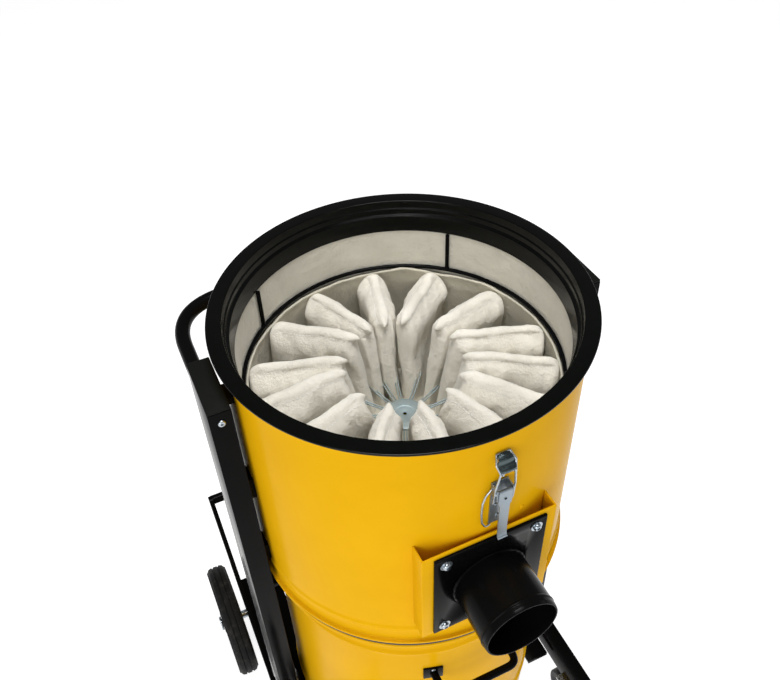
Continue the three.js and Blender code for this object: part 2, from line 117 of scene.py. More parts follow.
# ---------------------------------------------------------------- shader helpers
class Nodes:
    """A material's node tree with short calls for what the finishes share."""

    def __init__(self, name):
        self.material = bpy.data.materials.new(name)
        self.material.use_nodes = True
        self.tree = self.material.node_tree
        self.shader = self.tree.nodes["Principled BSDF"]
        self.place = self.tree.nodes.new("ShaderNodeTexCoord").outputs["Object"]

    def set(self, **values):
        for name, value in values.items():
            socket = self.shader.inputs[name.replace("_", " ")]
            socket.default_value = value
        return self

    def link(self, output, name):
        self.tree.links.new(output, self.shader.inputs[name])

    def noise(self, scale, detail=3.0, rough=0.55, stretch=(1, 1, 1)):
        mapping = self.tree.nodes.new("ShaderNodeMapping")
        mapping.inputs["Scale"].default_value = stretch
        self.tree.links.new(self.place, mapping.inputs["Vector"])
        node = self.tree.nodes.new("ShaderNodeTexNoise")
        node.inputs["Scale"].default_value = scale
        node.inputs["Detail"].default_value = detail
        node.inputs["Roughness"].default_value = rough
        self.tree.links.new(mapping.outputs["Vector"], node.inputs["Vector"])
        return node.outputs["Fac"]

    def cells(self, scale):
        node = self.tree.nodes.new("ShaderNodeTexVoronoi")
        node.inputs["Scale"].default_value = scale
        self.tree.links.new(self.place, node.inputs["Vector"])
        return node.outputs["Distance"]

    def ramp(self, fac, stops):
        node = self.tree.nodes.new("ShaderNodeValToRGB")
        ramp = node.color_ramp
        while len(ramp.elements) < len(stops):
            ramp.elements.new(0.5)
        for element, (position, colour) in zip(ramp.elements, stops):
            element.position = position
            element.color = (*colour, 1) if len(colour) == 3 else colour
        self.tree.links.new(fac, node.inputs["Fac"])
        return node.outputs["Color"]

    def levels(self, fac, low, high, at=(0.3, 0.7)):
        node = self.tree.nodes.new("ShaderNodeMapRange")
        for name, value in (("From Min", at[0]), ("From Max", at[1]), ("To Min", low), ("To Max", high)):
            node.inputs[name].default_value = value
        self.tree.links.new(fac, node.inputs["Value"])
        return node.outputs["Result"]

    def add(self, a, b, weight=1.0):
        node = self.tree.nodes.new("ShaderNodeMath")
        node.operation = "MULTIPLY_ADD"
        self.tree.links.new(b, node.inputs[0])
        node.inputs[1].default_value = weight
        self.tree.links.new(a, node.inputs[2])
        return node.outputs["Value"]

    def mix(self, fac, a, b):
        node = self.tree.nodes.new("ShaderNodeMix")
        node.data_type = "RGBA"
        self.tree.links.new(fac, node.inputs["Factor"])
        for value, socket in ((a, node.inputs["A"]), (b, node.inputs["B"])):
            if isinstance(value, tuple):
                socket.default_value = (*value, 1)
            else:
                self.tree.links.new(value, socket)
        return node.outputs["Result"]

    def bump(self, height, strength, distance):
        node = self.tree.nodes.new("ShaderNodeBump")
        node.inputs["Strength"].default_value = strength
        node.inputs["Distance"].default_value = distance
        self.tree.links.new(height, node.inputs["Height"])
        self.link(node.outputs["Normal"], "Normal")

    def edge_wear(self):
        """1 on sharp edges and 0 on flats: how far the rounded normal is from the true one."""
        bevel = self.tree.nodes.new("ShaderNodeBevel")
        bevel.inputs["Radius"].default_value = 1.2 * MM
        geometry = self.tree.nodes.new("ShaderNodeNewGeometry")
        dot = self.tree.nodes.new("ShaderNodeVectorMath")
        dot.operation = "DOT_PRODUCT"
        self.tree.links.new(bevel.outputs["Normal"], dot.inputs[0])
        self.tree.links.new(geometry.outputs["Normal"], dot.inputs[1])
        return self.levels(dot.outputs["Value"], 1.0, 0.0, (0.75, 0.98))


def powder_coat(name, base, dark, rough, scuff, gloss):
    """Sprayed and baked paint: fine orange peel, a little dust, faint rubbing."""
    n = Nodes(name)
    n.link(n.ramp(n.noise(9, 4), [(0.35, dark), (0.7, base)]), "Base Color")
    smears = n.noise(26, 6, 0.7, (1, 1, 0.35))
    n.link(n.levels(smears, rough, rough + scuff), "Roughness")
    n.set(Specular_IOR_Level=gloss)
    peel = n.add(n.noise(420, 2), n.noise(34, 2), 1.2)
    n.bump(peel, 0.045, 0.0005)
    return n.material


def rubber(name, base, dust, rough, gloss=0.09):
    """Moulded rubber: satin, with mould grain and a bloom of fine dust."""
    n = Nodes(name)
    n.link(n.ramp(n.noise(60, 8, 0.72), [(0.5, base), (0.86, dust)]), "Base Color")
    n.link(n.levels(n.noise(18, 5), rough, rough + 0.14), "Roughness")
    n.set(Specular_IOR_Level=gloss)
    n.bump(n.add(n.noise(900, 2), n.noise(70, 3), 1.2), 0.12, 0.0005)
    return n.material


def felt(name, light, shade, grime):
    """Needle-punched polyester felt: matted fibres, soft mottling, faint specks of dust."""
    n = Nodes(name)
    mottle = n.ramp(n.noise(24, 5, 0.6), [(0.32, shade), (0.62, light)])
    fibres = n.noise(1500, 3, 0.7, (1, 1, 0.45))
    speck = n.levels(n.noise(700, 2), 0.0, 0.22, (0.62, 0.8))
    n.link(n.mix(speck, mottle, grime), "Base Color")
    n.set(Roughness=0.96, Sheen_Weight=0.25, Sheen_Roughness=0.6, Specular_IOR_Level=0.15)
    coarse = n.add(fibres, n.noise(300, 4, 0.65), 2.2)
    n.bump(n.add(n.add(coarse, n.cells(520), -0.6), n.noise(85, 4, 0.6), 5.0), 0.5, 0.0013)
    return n.material


def zinc(name, tone, rough):
    """Bright zinc plate: soft reflections, a bluish cast, fine brushing and a few dull spots."""
    n = Nodes(name)
    blue = tuple(c * k for c, k in zip(tone, (0.86, 0.95, 1.04)))
    n.link(n.ramp(n.noise(55, 5), [(0.3, blue), (0.68, tone)]), "Base Color")
    n.link(n.levels(n.noise(240, 5, 0.65, (1, 1, 5)), rough, rough + 0.22), "Roughness")
    n.set(Metallic=1.0)
    n.bump(n.noise(650, 3, 0.6, (6, 1, 1)), 0.1, 0.0003)
    return n.material


def plastic(name, base, rough, grain):
    """Moulded plastic with a spark-eroded texture and slightly rubbed edges."""
    n = Nodes(name)
    paler = tuple(min(1, c * 2.1 + 0.012) for c in base)
    n.link(n.mix(n.edge_wear(), base, paler), "Base Color")
    n.link(n.levels(n.noise(90, 4), rough, rough + 0.12), "Roughness")
    n.set(Specular_IOR_Level=0.1)
    n.bump(n.noise(grain, 3, 0.6), 0.2, 0.0004)
    return n.material


YELLOW = powder_coat("yellow_paint", (0.77, 0.415, 0.005), (0.73, 0.385, 0.003), 0.2, 0.05, 0.012)
BLACK = powder_coat("black_paint", (0.004, 0.004, 0.004), (0.0025, 0.0025, 0.0025), 0.15, 0.1, 0.035)
RIM_RUBBER = rubber("rim_rubber", (0.0008, 0.0012, 0.0008), (0.002, 0.0025, 0.002), 0.1, 0.15)
TYRE = rubber("tyre_rubber", (0.014, 0.014, 0.014), (0.07, 0.066, 0.058), 0.6)
FELT = felt("filter_felt", (0.87, 0.83, 0.735), (0.74, 0.7, 0.61), (0.5, 0.45, 0.36))
# A darker copy of the pleats' felt: painted shade for the band that hangs below the rim.
BAND_FELT_PAINTED_SHADE = felt("band_felt_painted_shade", (0.73, 0.695, 0.595), (0.655, 0.62, 0.525), (0.48, 0.44, 0.35))
# A still darker copy of the same felt: painted shade on the wall and floor deep among the pleats.
WALL_FELT_PAINTED_SHADE = felt("wall_felt_painted_shade", (0.6, 0.565, 0.46), (0.52, 0.485, 0.39), (0.4, 0.36, 0.28))
THREAD = felt("sewing_thread", (0.9, 0.88, 0.83), (0.84, 0.82, 0.76), (0.7, 0.67, 0.6))
ZINC = zinc("zinc", (0.46, 0.485, 0.5), 0.17)
HUB_ZINC = zinc("hub_zinc", (0.37, 0.415, 0.4), 0.48)
DULL_ZINC = zinc("dull_zinc", (0.34, 0.37, 0.39), 0.34)
# Zinc darkened far below its own colour: a painted reflection of the black rim in the latch's hook plate.
HOOK_ZINC_PAINTED_REFLECTION = zinc("hook_zinc_painted_reflection", (0.1, 0.125, 0.125), 0.18)
CAP = plastic("cap_plastic", (0.004, 0.0048, 0.004), 0.6, 1300)
WHEEL = plastic("wheel_plastic", (0.035, 0.036, 0.038), 0.42, 900)
GRIP = rubber("grip_rubber", (0.012, 0.012, 0.012), (0.03, 0.03, 0.028), 0.55)


# ---------------------------------------------------------------- geometry helpers
def revolve(section, segments=160, centre=(0, 0, 0), axis="Z", closed=True):
    """Vertices and faces of a section of (r, h) points turned about an axis."""
    points = np.array(section, float)
    count = len(points)
    turn = np.arange(segments) * 2 * math.pi / segments
    r, h = points[:, 0][None, :], points[:, 1][None, :]
    a = np.cos(turn)[:, None] * r
    b = np.sin(turn)[:, None] * r
    h = np.broadcast_to(h, a.shape)
    order = {"Z": (a, b, h), "X": (h, a, b), "Y": (b, h, a)}[axis]
    verts = np.stack(order, -1).reshape(-1, 3) + np.array(centre)
    rows = count if closed else count - 1
    faces = []
    for i in range(segments):
        j = (i + 1) % segments
        for k in range(rows):
            m = (k + 1) % count
            faces.append((i * count + k, j * count + k, j * count + m, i * count + m))
    return verts, faces


def filleted(section, radius, steps=4):
    """A closed section with each corner rounded; radius may be one number or one for each corner."""
    points = [Vector(p) for p in section]
    radii = radius if isinstance(radius, (list, tuple)) else [radius] * len(points)
    out = []
    for i, corner in enumerate(points):
        before = (points[i - 1] - corner)
        after = (points[(i + 1) % len(points)] - corner)
        inset = min(radii[i], before.length * 0.45, after.length * 0.45)
        if inset <= 0:
            out.append(tuple(corner))
            continue
        start, end = corner + before.normalized() * inset, corner + after.normalized() * inset
        for s in range(steps + 1):
            t = s / steps
            out.append(tuple(start * (1 - t) ** 2 + corner * 2 * t * (1 - t) + end * t * t))
    return out


def tube(points, radius, sides=14, closed=False):
    """Vertices and faces of a round bar along points, with flat ends."""
    path = np.array(points, float)
    count = len(path)
    radii = np.broadcast_to(np.array(radius, float), (count,))
    ahead = np.roll(path, -1, 0) - np.roll(path, 1, 0)
    if not closed:
        ahead[0], ahead[-1] = path[1] - path[0], path[-1] - path[-2]
    ahead /= np.linalg.norm(ahead, axis=1)[:, None]
    side = np.cross(ahead[0], (0, 0, 1) if abs(ahead[0][2]) < 0.9 else (1, 0, 0))
    turn = np.arange(sides) * 2 * math.pi / sides
    verts = []
    for i in range(count):
        side = side - ahead[i] * side.dot(ahead[i])
        side /= np.linalg.norm(side)
        up = np.cross(ahead[i], side)
        verts.append(path[i] + radii[i] * (np.cos(turn)[:, None] * side + np.sin(turn)[:, None] * up))
    verts = np.concatenate(verts)
    faces = []
    for i in range(count if closed else count - 1):
        j = (i + 1) % count
        for k in range(sides):
            m = (k + 1) % sides
            faces.append((i * sides + k, i * sides + m, j * sides + m, j * sides + k))
    if not closed:
        faces.append(tuple(range(sides))[::-1])
        faces.append(tuple((count - 1) * sides + k for k in range(sides)))
    return verts, faces


def bent(points, radius, steps=10):
    """A path through points with its inner corners rounded."""
    corners = [Vector(p) for p in points]
    out = [tuple(corners[0])]
    for i in range(1, len(corners) - 1):
        before, after = corners[i - 1] - corners[i], corners[i + 1] - corners[i]
        inset = min(radius * math.tan((math.pi - before.angle(after)) / 2),
                    before.length * 0.49, after.length * 0.49)
        start, end = corners[i] + before.normalized() * inset, corners[i] + after.normalized() * inset
        for s in range(steps + 1):
            t = s / steps
            out.append(tuple(start * (1 - t) ** 2 + corners[i] * 2 * t * (1 - t) + end * t * t))
    out.append(tuple(corners[-1]))
    return out


def lofted_strip(stations, crown, thickness):
    """A bent strip of sheet through stations of (x, y, z, half width), crowned across towards -Y."""
    steps, across = 8, 10
    knots = np.array(stations, float)
    count = len(knots)
    rows = []
    for i in range((count - 1) * steps + 1):
        u = i / steps
        k = min(int(u), count - 2)
        f = u - k
        p = [knots[min(max(k + d, 0), count - 1)] for d in (-1, 0, 1, 2)]
        rows.append(0.5 * (2 * p[1] + (p[2] - p[0]) * f + (2 * p[0] - 5 * p[1] + 4 * p[2] - p[3]) * f ** 2
                           + (3 * p[1] - p[0] - 3 * p[2] + p[3]) * f ** 3))
    rows = np.array(rows)
    ahead = np.gradient(rows[:, :3], axis=0)
    normal = np.cross(ahead, (1, 0, 0))
    normal /= np.linalg.norm(normal, axis=1)[:, None]
    normal *= -np.sign(normal[:, 1:2] + 1e-9)
    verts = []
    for row, out in zip(rows, normal):
        for layer in (0, 1):
            for j in range(across + 1):
                c = 2 * j / across - 1
                offset = crown * (1 - c * c) - layer * thickness
                verts.append(row[:3] + np.array((row[3] * c, 0, 0)) + out * offset)
    wide = across + 1
    loop = list(range(wide)) + [wide + j for j in range(across, -1, -1)]
    faces = [(r * 2 * wide + loop[k], r * 2 * wide + loop[(k + 1) % len(loop)],
              (r + 1) * 2 * wide + loop[(k + 1) % len(loop)], (r + 1) * 2 * wide + loop[k])
             for r in range(len(rows) - 1) for k in range(len(loop))]
    last = (len(rows) - 1) * 2 * wide
    faces.append(tuple(loop)[::-1])
    faces.append(tuple(last + k for k in loop))
    return np.array(verts), faces


def rounded_box(low, high, radius, segments=3):
    """Vertices and faces of a box with rounded edges."""
    bm = bmesh.new()
    bmesh.ops.create_cube(bm, size=1)
    size = [h - l for l, h in zip(low, high)]
    middle = [(h + l) / 2 for l, h in zip(low, high)]
    bmesh.ops.scale(bm, vec=size, verts=bm.verts)
    bmesh.ops.translate(bm, vec=middle, verts=bm.verts)
    bmesh.ops.bevel(bm, geom=bm.edges[:], offset=min(radius, 0.45 * min(size)), segments=segments,
                    profile=0.5, affect="EDGES", clamp_overlap=True)
    return taken(bm)


def taken(bm):
    """The vertices and faces of a bmesh, which is freed."""
    bm.verts.index_update()
    verts = np.array([v.co[:] for v in bm.verts], float)
    faces = [tuple(v.index for v in f.verts) for f in bm.faces]
    bm.free()
    return verts, faces


def softened(node, radius):
    """A CAD node's own shape with its hard edges rounded."""
    bm = bmesh.new()
    bm.from_mesh(frame["nodes"][node].data)
    bmesh.ops.remove_doubles(bm, verts=bm.verts, dist=0.00002)
    bmesh.ops.dissolve_limit(bm, angle_limit=math.radians(1.5), verts=bm.verts, edges=bm.edges)
    sharp = [e for e in bm.edges if len(e.link_faces) == 2
             and e.calc_face_angle(0) > math.radians(25)]
    bmesh.ops.bevel(bm, geom=sharp, offset=radius, segments=3, profile=0.5,
                    affect="EDGES", clamp_overlap=True)
    bmesh.ops.recalc_face_normals(bm, faces=bm.faces)
    return taken(bm)


def turned(shape, degrees, axis, centre=(0, 0, 0)):
    """A shape made about the origin, turned about an axis and then moved to centre."""
    turn = np.array(Matrix.Rotation(math.radians(degrees), 3, axis))
    return np.array(shape[0]) @ turn.T + np.array(centre), shape[1]


def facing(shape, place, direction):
    """A shape made along +Z at the origin, turned to a direction and put in place."""
    turn = np.array(Vector((0, 0, 1)).rotation_difference(Vector(direction).normalized()).to_matrix())
    return np.array(shape[0]) @ turn.T + np.array(place), shape[1]


def mirrored(half, middle=()):
    """A section of (r, x) points completed with the same points on the other side of x = 0."""
    return half + list(middle) + [(r, -x) for r, x in reversed(half)]


def swage(r, height, z, reach):
    """The four corners of a bead rolled into a wall of radius r, going up past z."""
    flat = 2 * MM
    return [(r, z - reach), (r + height, z - flat), (r + height, z + flat), (r, z + reach)]


def wrapped(degrees):
    """An angle brought to between -180 and 180."""
    return (degrees + 180) % 360 - 180


def applied(obj):
    """Makes a piece's modifiers part of its mesh."""
    bpy.context.view_layer.update()
    result = bpy.data.meshes.new_from_object(obj.evaluated_get(bpy.context.evaluated_depsgraph_get()))
    obj.modifiers.clear()
    old, obj.data = obj.data, result
    bpy.data.meshes.remove(old)


def piece(name, shapes, material, body, stands_for=(), crease=32):
    """One object made of closed shapes, riding on a CAD body."""
    verts, faces, start = [], [], 0
    for shape_verts, shape_faces in shapes:
        verts.append(np.array(shape_verts))
        faces.extend(tuple(i + start for i in face) for face in shape_faces)
        start += len(shape_verts)
    mesh = bpy.data.meshes.new(name)
    mesh.from_pydata(np.concatenate(verts).tolist(), [], faces)
    bm = bmesh.new()
    bm.from_mesh(mesh)
    bmesh.ops.recalc_face_normals(bm, faces=bm.faces)
    bm.to_mesh(mesh)
    bm.free()
    mesh.shade_smooth()
    mesh.set_sharp_from_angle(angle=math.radians(crease))
    mesh.materials.append(material)
    obj = bpy.data.objects.new(name, mesh)
    bpy.context.scene.collection.objects.link(obj)
    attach(obj, body)
    if stands_for:
        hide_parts(*stands_for)
    return obj


def carve(obj, tool_shape):
    """Cuts a closed shape out of a piece."""
    mesh = bpy.data.meshes.new("cutter")
    mesh.from_pydata(np.array(tool_shape[0]).tolist(), [], tool_shape[1])
    bm = bmesh.new()
    bm.from_mesh(mesh)
    bmesh.ops.remove_doubles(bm, verts=bm.verts, dist=1e-7)
    bmesh.ops.recalc_face_normals(bm, faces=bm.faces)
    bm.to_mesh(mesh)
    bm.free()
    tool = bpy.data.objects.new("cutter", mesh)
    bpy.context.scene.collection.objects.link(tool)
    modifier = obj.modifiers.new("cut", "BOOLEAN")
    modifier.object = tool
    modifier.solver = "EXACT"
    applied(obj)
    bpy.data.objects.remove(tool)


def polar(r, degrees, z):
    a = math.radians(degrees)
    return r * math.cos(a), r * math.sin(a), z


def circle_points(r, z, count):
    return [polar(r, 360 * i / count, z) for i in range(count)]


# ---------------------------------------------------------------- chamber and inlet
def make_chamber():
    r, wall, flange = CHAMBER_R, 2 * MM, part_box("filter_chamber")[1].x
    low, top = CHAMBER_BOTTOM, CHAMBER_TOP
    bead, bead_z, reach = 2.2 * MM, low + 32 * MM, 6 * MM
    section = filleted([
        (r - wall, low), (flange, low), (flange, low + 4 * MM), (r, low + 4 * MM),
        *swage(r, bead, bead_z, reach), (r, top), (r - wall, top),
        *swage(r - wall, bead, bead_z, reach)[::-1],
    ], [0.2 * MM, 1.6 * MM, 1.6 * MM, 3 * MM] + [3 * MM] * 4 + [0.8 * MM] * 2 + [3 * MM] * 4)
    chamber = piece("chamber_shell", [revolve(section, 256)], YELLOW, "chassis",
                    ["filter_chamber"], 40)
    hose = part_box("inlet_socket")
    middle = (hose[0].z + hose[1].z) / 2
    hole = revolve([(0, -0.3), (0.0503, -0.3), (0.0503, -0.15), (0, -0.15)], 64, (0, 0, middle), "Y", False)
    carve(chamber, hole)
    chamber.data.set_sharp_from_angle(angle=math.radians(40))

    seam = [(0, r + 0.1 * MM, z) for z in np.linspace(low + 5 * MM, top - 6 * MM, 90)]
    rng = random.Random(3)
    wobble = [(x + rng.uniform(-0.2, 0.2) * MM, y, z) for x, y, z in seam]
    piece("chamber_seam", [tube(wobble, [1.5 * MM] * len(wobble), 8)], YELLOW, "chassis",
          crease=60)


def dome(centre, direction, r, height, sides=20, socket=0.0):
    """A button head: its flat back at centre, domed towards direction, with a hexagon socket."""
    profile = [(0, 0), (r, 0), (r, height * 0.3), (r * 0.93, height * 0.62), (r * 0.75, height * 0.88),
               (r * 0.45, height)]
    if socket:
        profile += [(socket, height), (socket * 0.96, height * 0.35), (0, height * 0.3)]
    else:
        profile += [(r * 0.2, height * 1.03), (0, height * 1.04)]
    return facing(revolve(profile, sides, closed=False), centre, direction)


def make_inlet():
    piece("inlet_bracket_sheet", [softened("inlet_bracket", 1.1 * MM)], YELLOW, "chassis",
          ["inlet_bracket"])
    low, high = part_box("inlet_socket")
    middle = (low.z + high.z) / 2
    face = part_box("inlet_bracket")[0].y - 0.3 * MM
    plate = rounded_box((-0.077, face - 0.004, middle - 0.084), (0.077, face, middle + 0.084), 1.2 * MM)
    flange = piece("inlet_flange", [plate], BLACK, "chassis", ["inlet_socket"])
    carve(flange, revolve([(0, -0.3), (0.0495, -0.3), (0.0495, -0.2), (0, -0.2)], 64,
                          (0, 0, middle), "Y", False))
    r, wall = 0.050, 0.003
    section = filleted([
        (r - wall, high.y), (r - wall, low.y), (r - 1 * MM, low.y), (r, low.y + 4 * MM),
        (r, low.y + 9 * MM), (r + 0.9 * MM, low.y + 10 * MM), (r + 0.9 * MM, low.y + 12 * MM),
        (r, low.y + 13 * MM), (r, high.y),
    ], 0.6 * MM)
    weld_r = 1.004 * r
    weld = [(weld_r * math.cos(t), face - 4.2 * MM, weld_r * math.sin(t) + middle)
            for t in np.linspace(0, 2 * math.pi, 97)[:-1]]
    beads = [(2.0 + 0.35 * math.sin(i * 1.7)) * MM for i in range(len(weld))]
    piece("inlet_tube", [revolve(section, 96, (0, 0, middle), "Y"), tube(weld, beads, 8, True)],
          BLACK, "chassis")
    heads, washers = [], []
    for x in (-0.062, 0.062):
        for z in (-0.07, 0.07):
            spot = (x, face - 4 * MM, middle + z)
            washers.append(revolve([(0, 0), (8 * MM, 0), (8 * MM, -1 * MM), (0, -1 * MM)], 32, spot,
                                   "Y", False))
            heads.append(dome((x, face - 5 * MM, middle + z), (0, -1, 0), 5.4 * MM, 4.2 * MM, 24, 2.4 * MM))
    piece("inlet_washers", washers, ZINC, "chassis")
    piece("inlet_screws", heads, ZINC, "chassis", crease=40)
    rivet = [dome(polar(CHAMBER_R - 0.2 * MM, -78, RIM_Z - 0.171), polar(1, -78, 0), 3.2 * MM, 1.6 * MM)]
    piece("chamber_rivet", rivet, YELLOW, "chassis", crease=50)


# ---------------------------------------------------------------- rim ring
def make_rim():
    seat, mouth = CHAMBER_R - 2.3 * MM, 0.211
    raw = [
        (mouth, -46), (seat, -46), (seat, -3), (LIP_R, -3), (LIP_R, 0), (0.2205, 0),
        (0.2198, -11), (0.2180, -12.5), (0.2178, -19.6), (0.2142, -22.5),
    ]
    section = [(r, RIM_Z + z * MM) for r, z in raw]
    radii = [2.0, 0.6, 0.4, 0.9, 1.3, 1.0, 0.35, 0.6, 0.35, 0.6]
    piece("rim_gasket", [revolve(filleted(section, [v * MM for v in radii], 5), 288)], RIM_RUBBER,
          "filter", ["rim_ring"], 30)


def quick_parts():
    """Every remaining CAD node, rounded off, in its finish."""
    plan = [
        ("SIDE_upright", "SIDE_post", 2.2, BLACK, "chassis", "black_paint"),
        ("SIDE_cap", "SIDE_post_cap", 1.4, CAP, "chassis", "cap_plastic"),
        ("base_frame", "base_frame_tubes", 2.2, BLACK, "chassis", "black_paint"),
        ("lift_fork", "lift_fork_bars", 0.9, BLACK, "lift_fork", "black_paint"),
        ("SIDE_lift_crank", "SIDE_crank", 0.7, ZINC, "lift_lever", "zinc"),
        ("bin_dolly", "bin_dolly_frame", 0.6, DULL_ZINC, "bin", "zinc"),
        ("latch_base", "latch_base_plate", 0.35, DULL_ZINC, "chassis", "zinc"),
        ("rear_catch", "rear_catch_plate", 0.7, ZINC, "chassis", "zinc"),
        ("SIDE_caster_plate", "SIDE_caster_top", 0.8, ZINC, "chassis", "zinc"),
        ("SIDE_caster_fork", "SIDE_caster_yoke", 0.8, ZINC, "SIDE_caster", "zinc"),
        ("SIDE_axle", "SIDE_axle_stub", 1.0, ZINC, "chassis", "zinc"),
    ]
    for row in plan:
        for side in ("left", "right") if "SIDE" in row[0] else ("",):
            node, name, body = (row[k].replace("SIDE", side) for k in (0, 1, 4))
            piece(name, [softened(node, row[2] * MM)], row[3], body, [node])


# ---------------------------------------------------------------- felt filter
def flowing(*place):
    """Smooth repeatable noise, from -1 to 1."""
    return noise.noise(Vector(place))


def thickened(obj, thickness):
    """Gives a one-sided sheet its real thickness, inwards."""
    modifier = obj.modifiers.new("felt", "SOLIDIFY")
    modifier.thickness = thickness
    modifier.offset = -1
    applied(obj)


def ridge_of(node):
    """The inner and outer ends of a pocket's ridge, as (radius, azimuth), from its CAD plate."""
    points = np.array([v.co[:] for v in frame["nodes"][node].data.vertices])[:, :2]
    middle = (points.min(0) + points.max(0)) / 2
    along = np.linalg.svd(points - points.mean(0))[2][0]
    along = along * np.sign(along @ middle)
    reach = points @ along
    ends = [points[reach < reach.min() + 0.5 * MM].mean(0), points[reach > reach.max() - 0.5 * MM].mean(0)]
    return [(float(np.hypot(*p)), math.degrees(math.atan2(p[1], p[0]))) for p in ends]


def rod_azimuths():
    """Where the ring's hangers stand, from the top ends of the CAD ring."""
    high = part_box("support_ring")[1]
    points = np.array([v.co[:] for v in frame["nodes"]["support_ring"].data.vertices])
    tops = points[points[:, 2] > high.z - 0.5 * MM]
    groups = []
    for x, y in sorted(tops[:, :2].tolist(), key=lambda p: math.atan2(p[1], p[0])):
        if groups and math.dist(groups[-1][-1], (x, y)) < 20 * MM:
            groups[-1].append((x, y))
        else:
            groups.append([(x, y)])
    middles = [np.mean(group, axis=0) for group in groups]
    return [math.degrees(math.atan2(y, x)) for x, y in middles]


def floor_height(r):
    """The filter's sloping floor."""
    inner_r, inner_z = 36 * MM, RIM_Z - 226 * MM
    slope = (FLOOR_Z + 3 * MM - inner_z) / (SLEEVE_R - inner_r)
    return inner_z + slope * (max(r, inner_r) - inner_r)


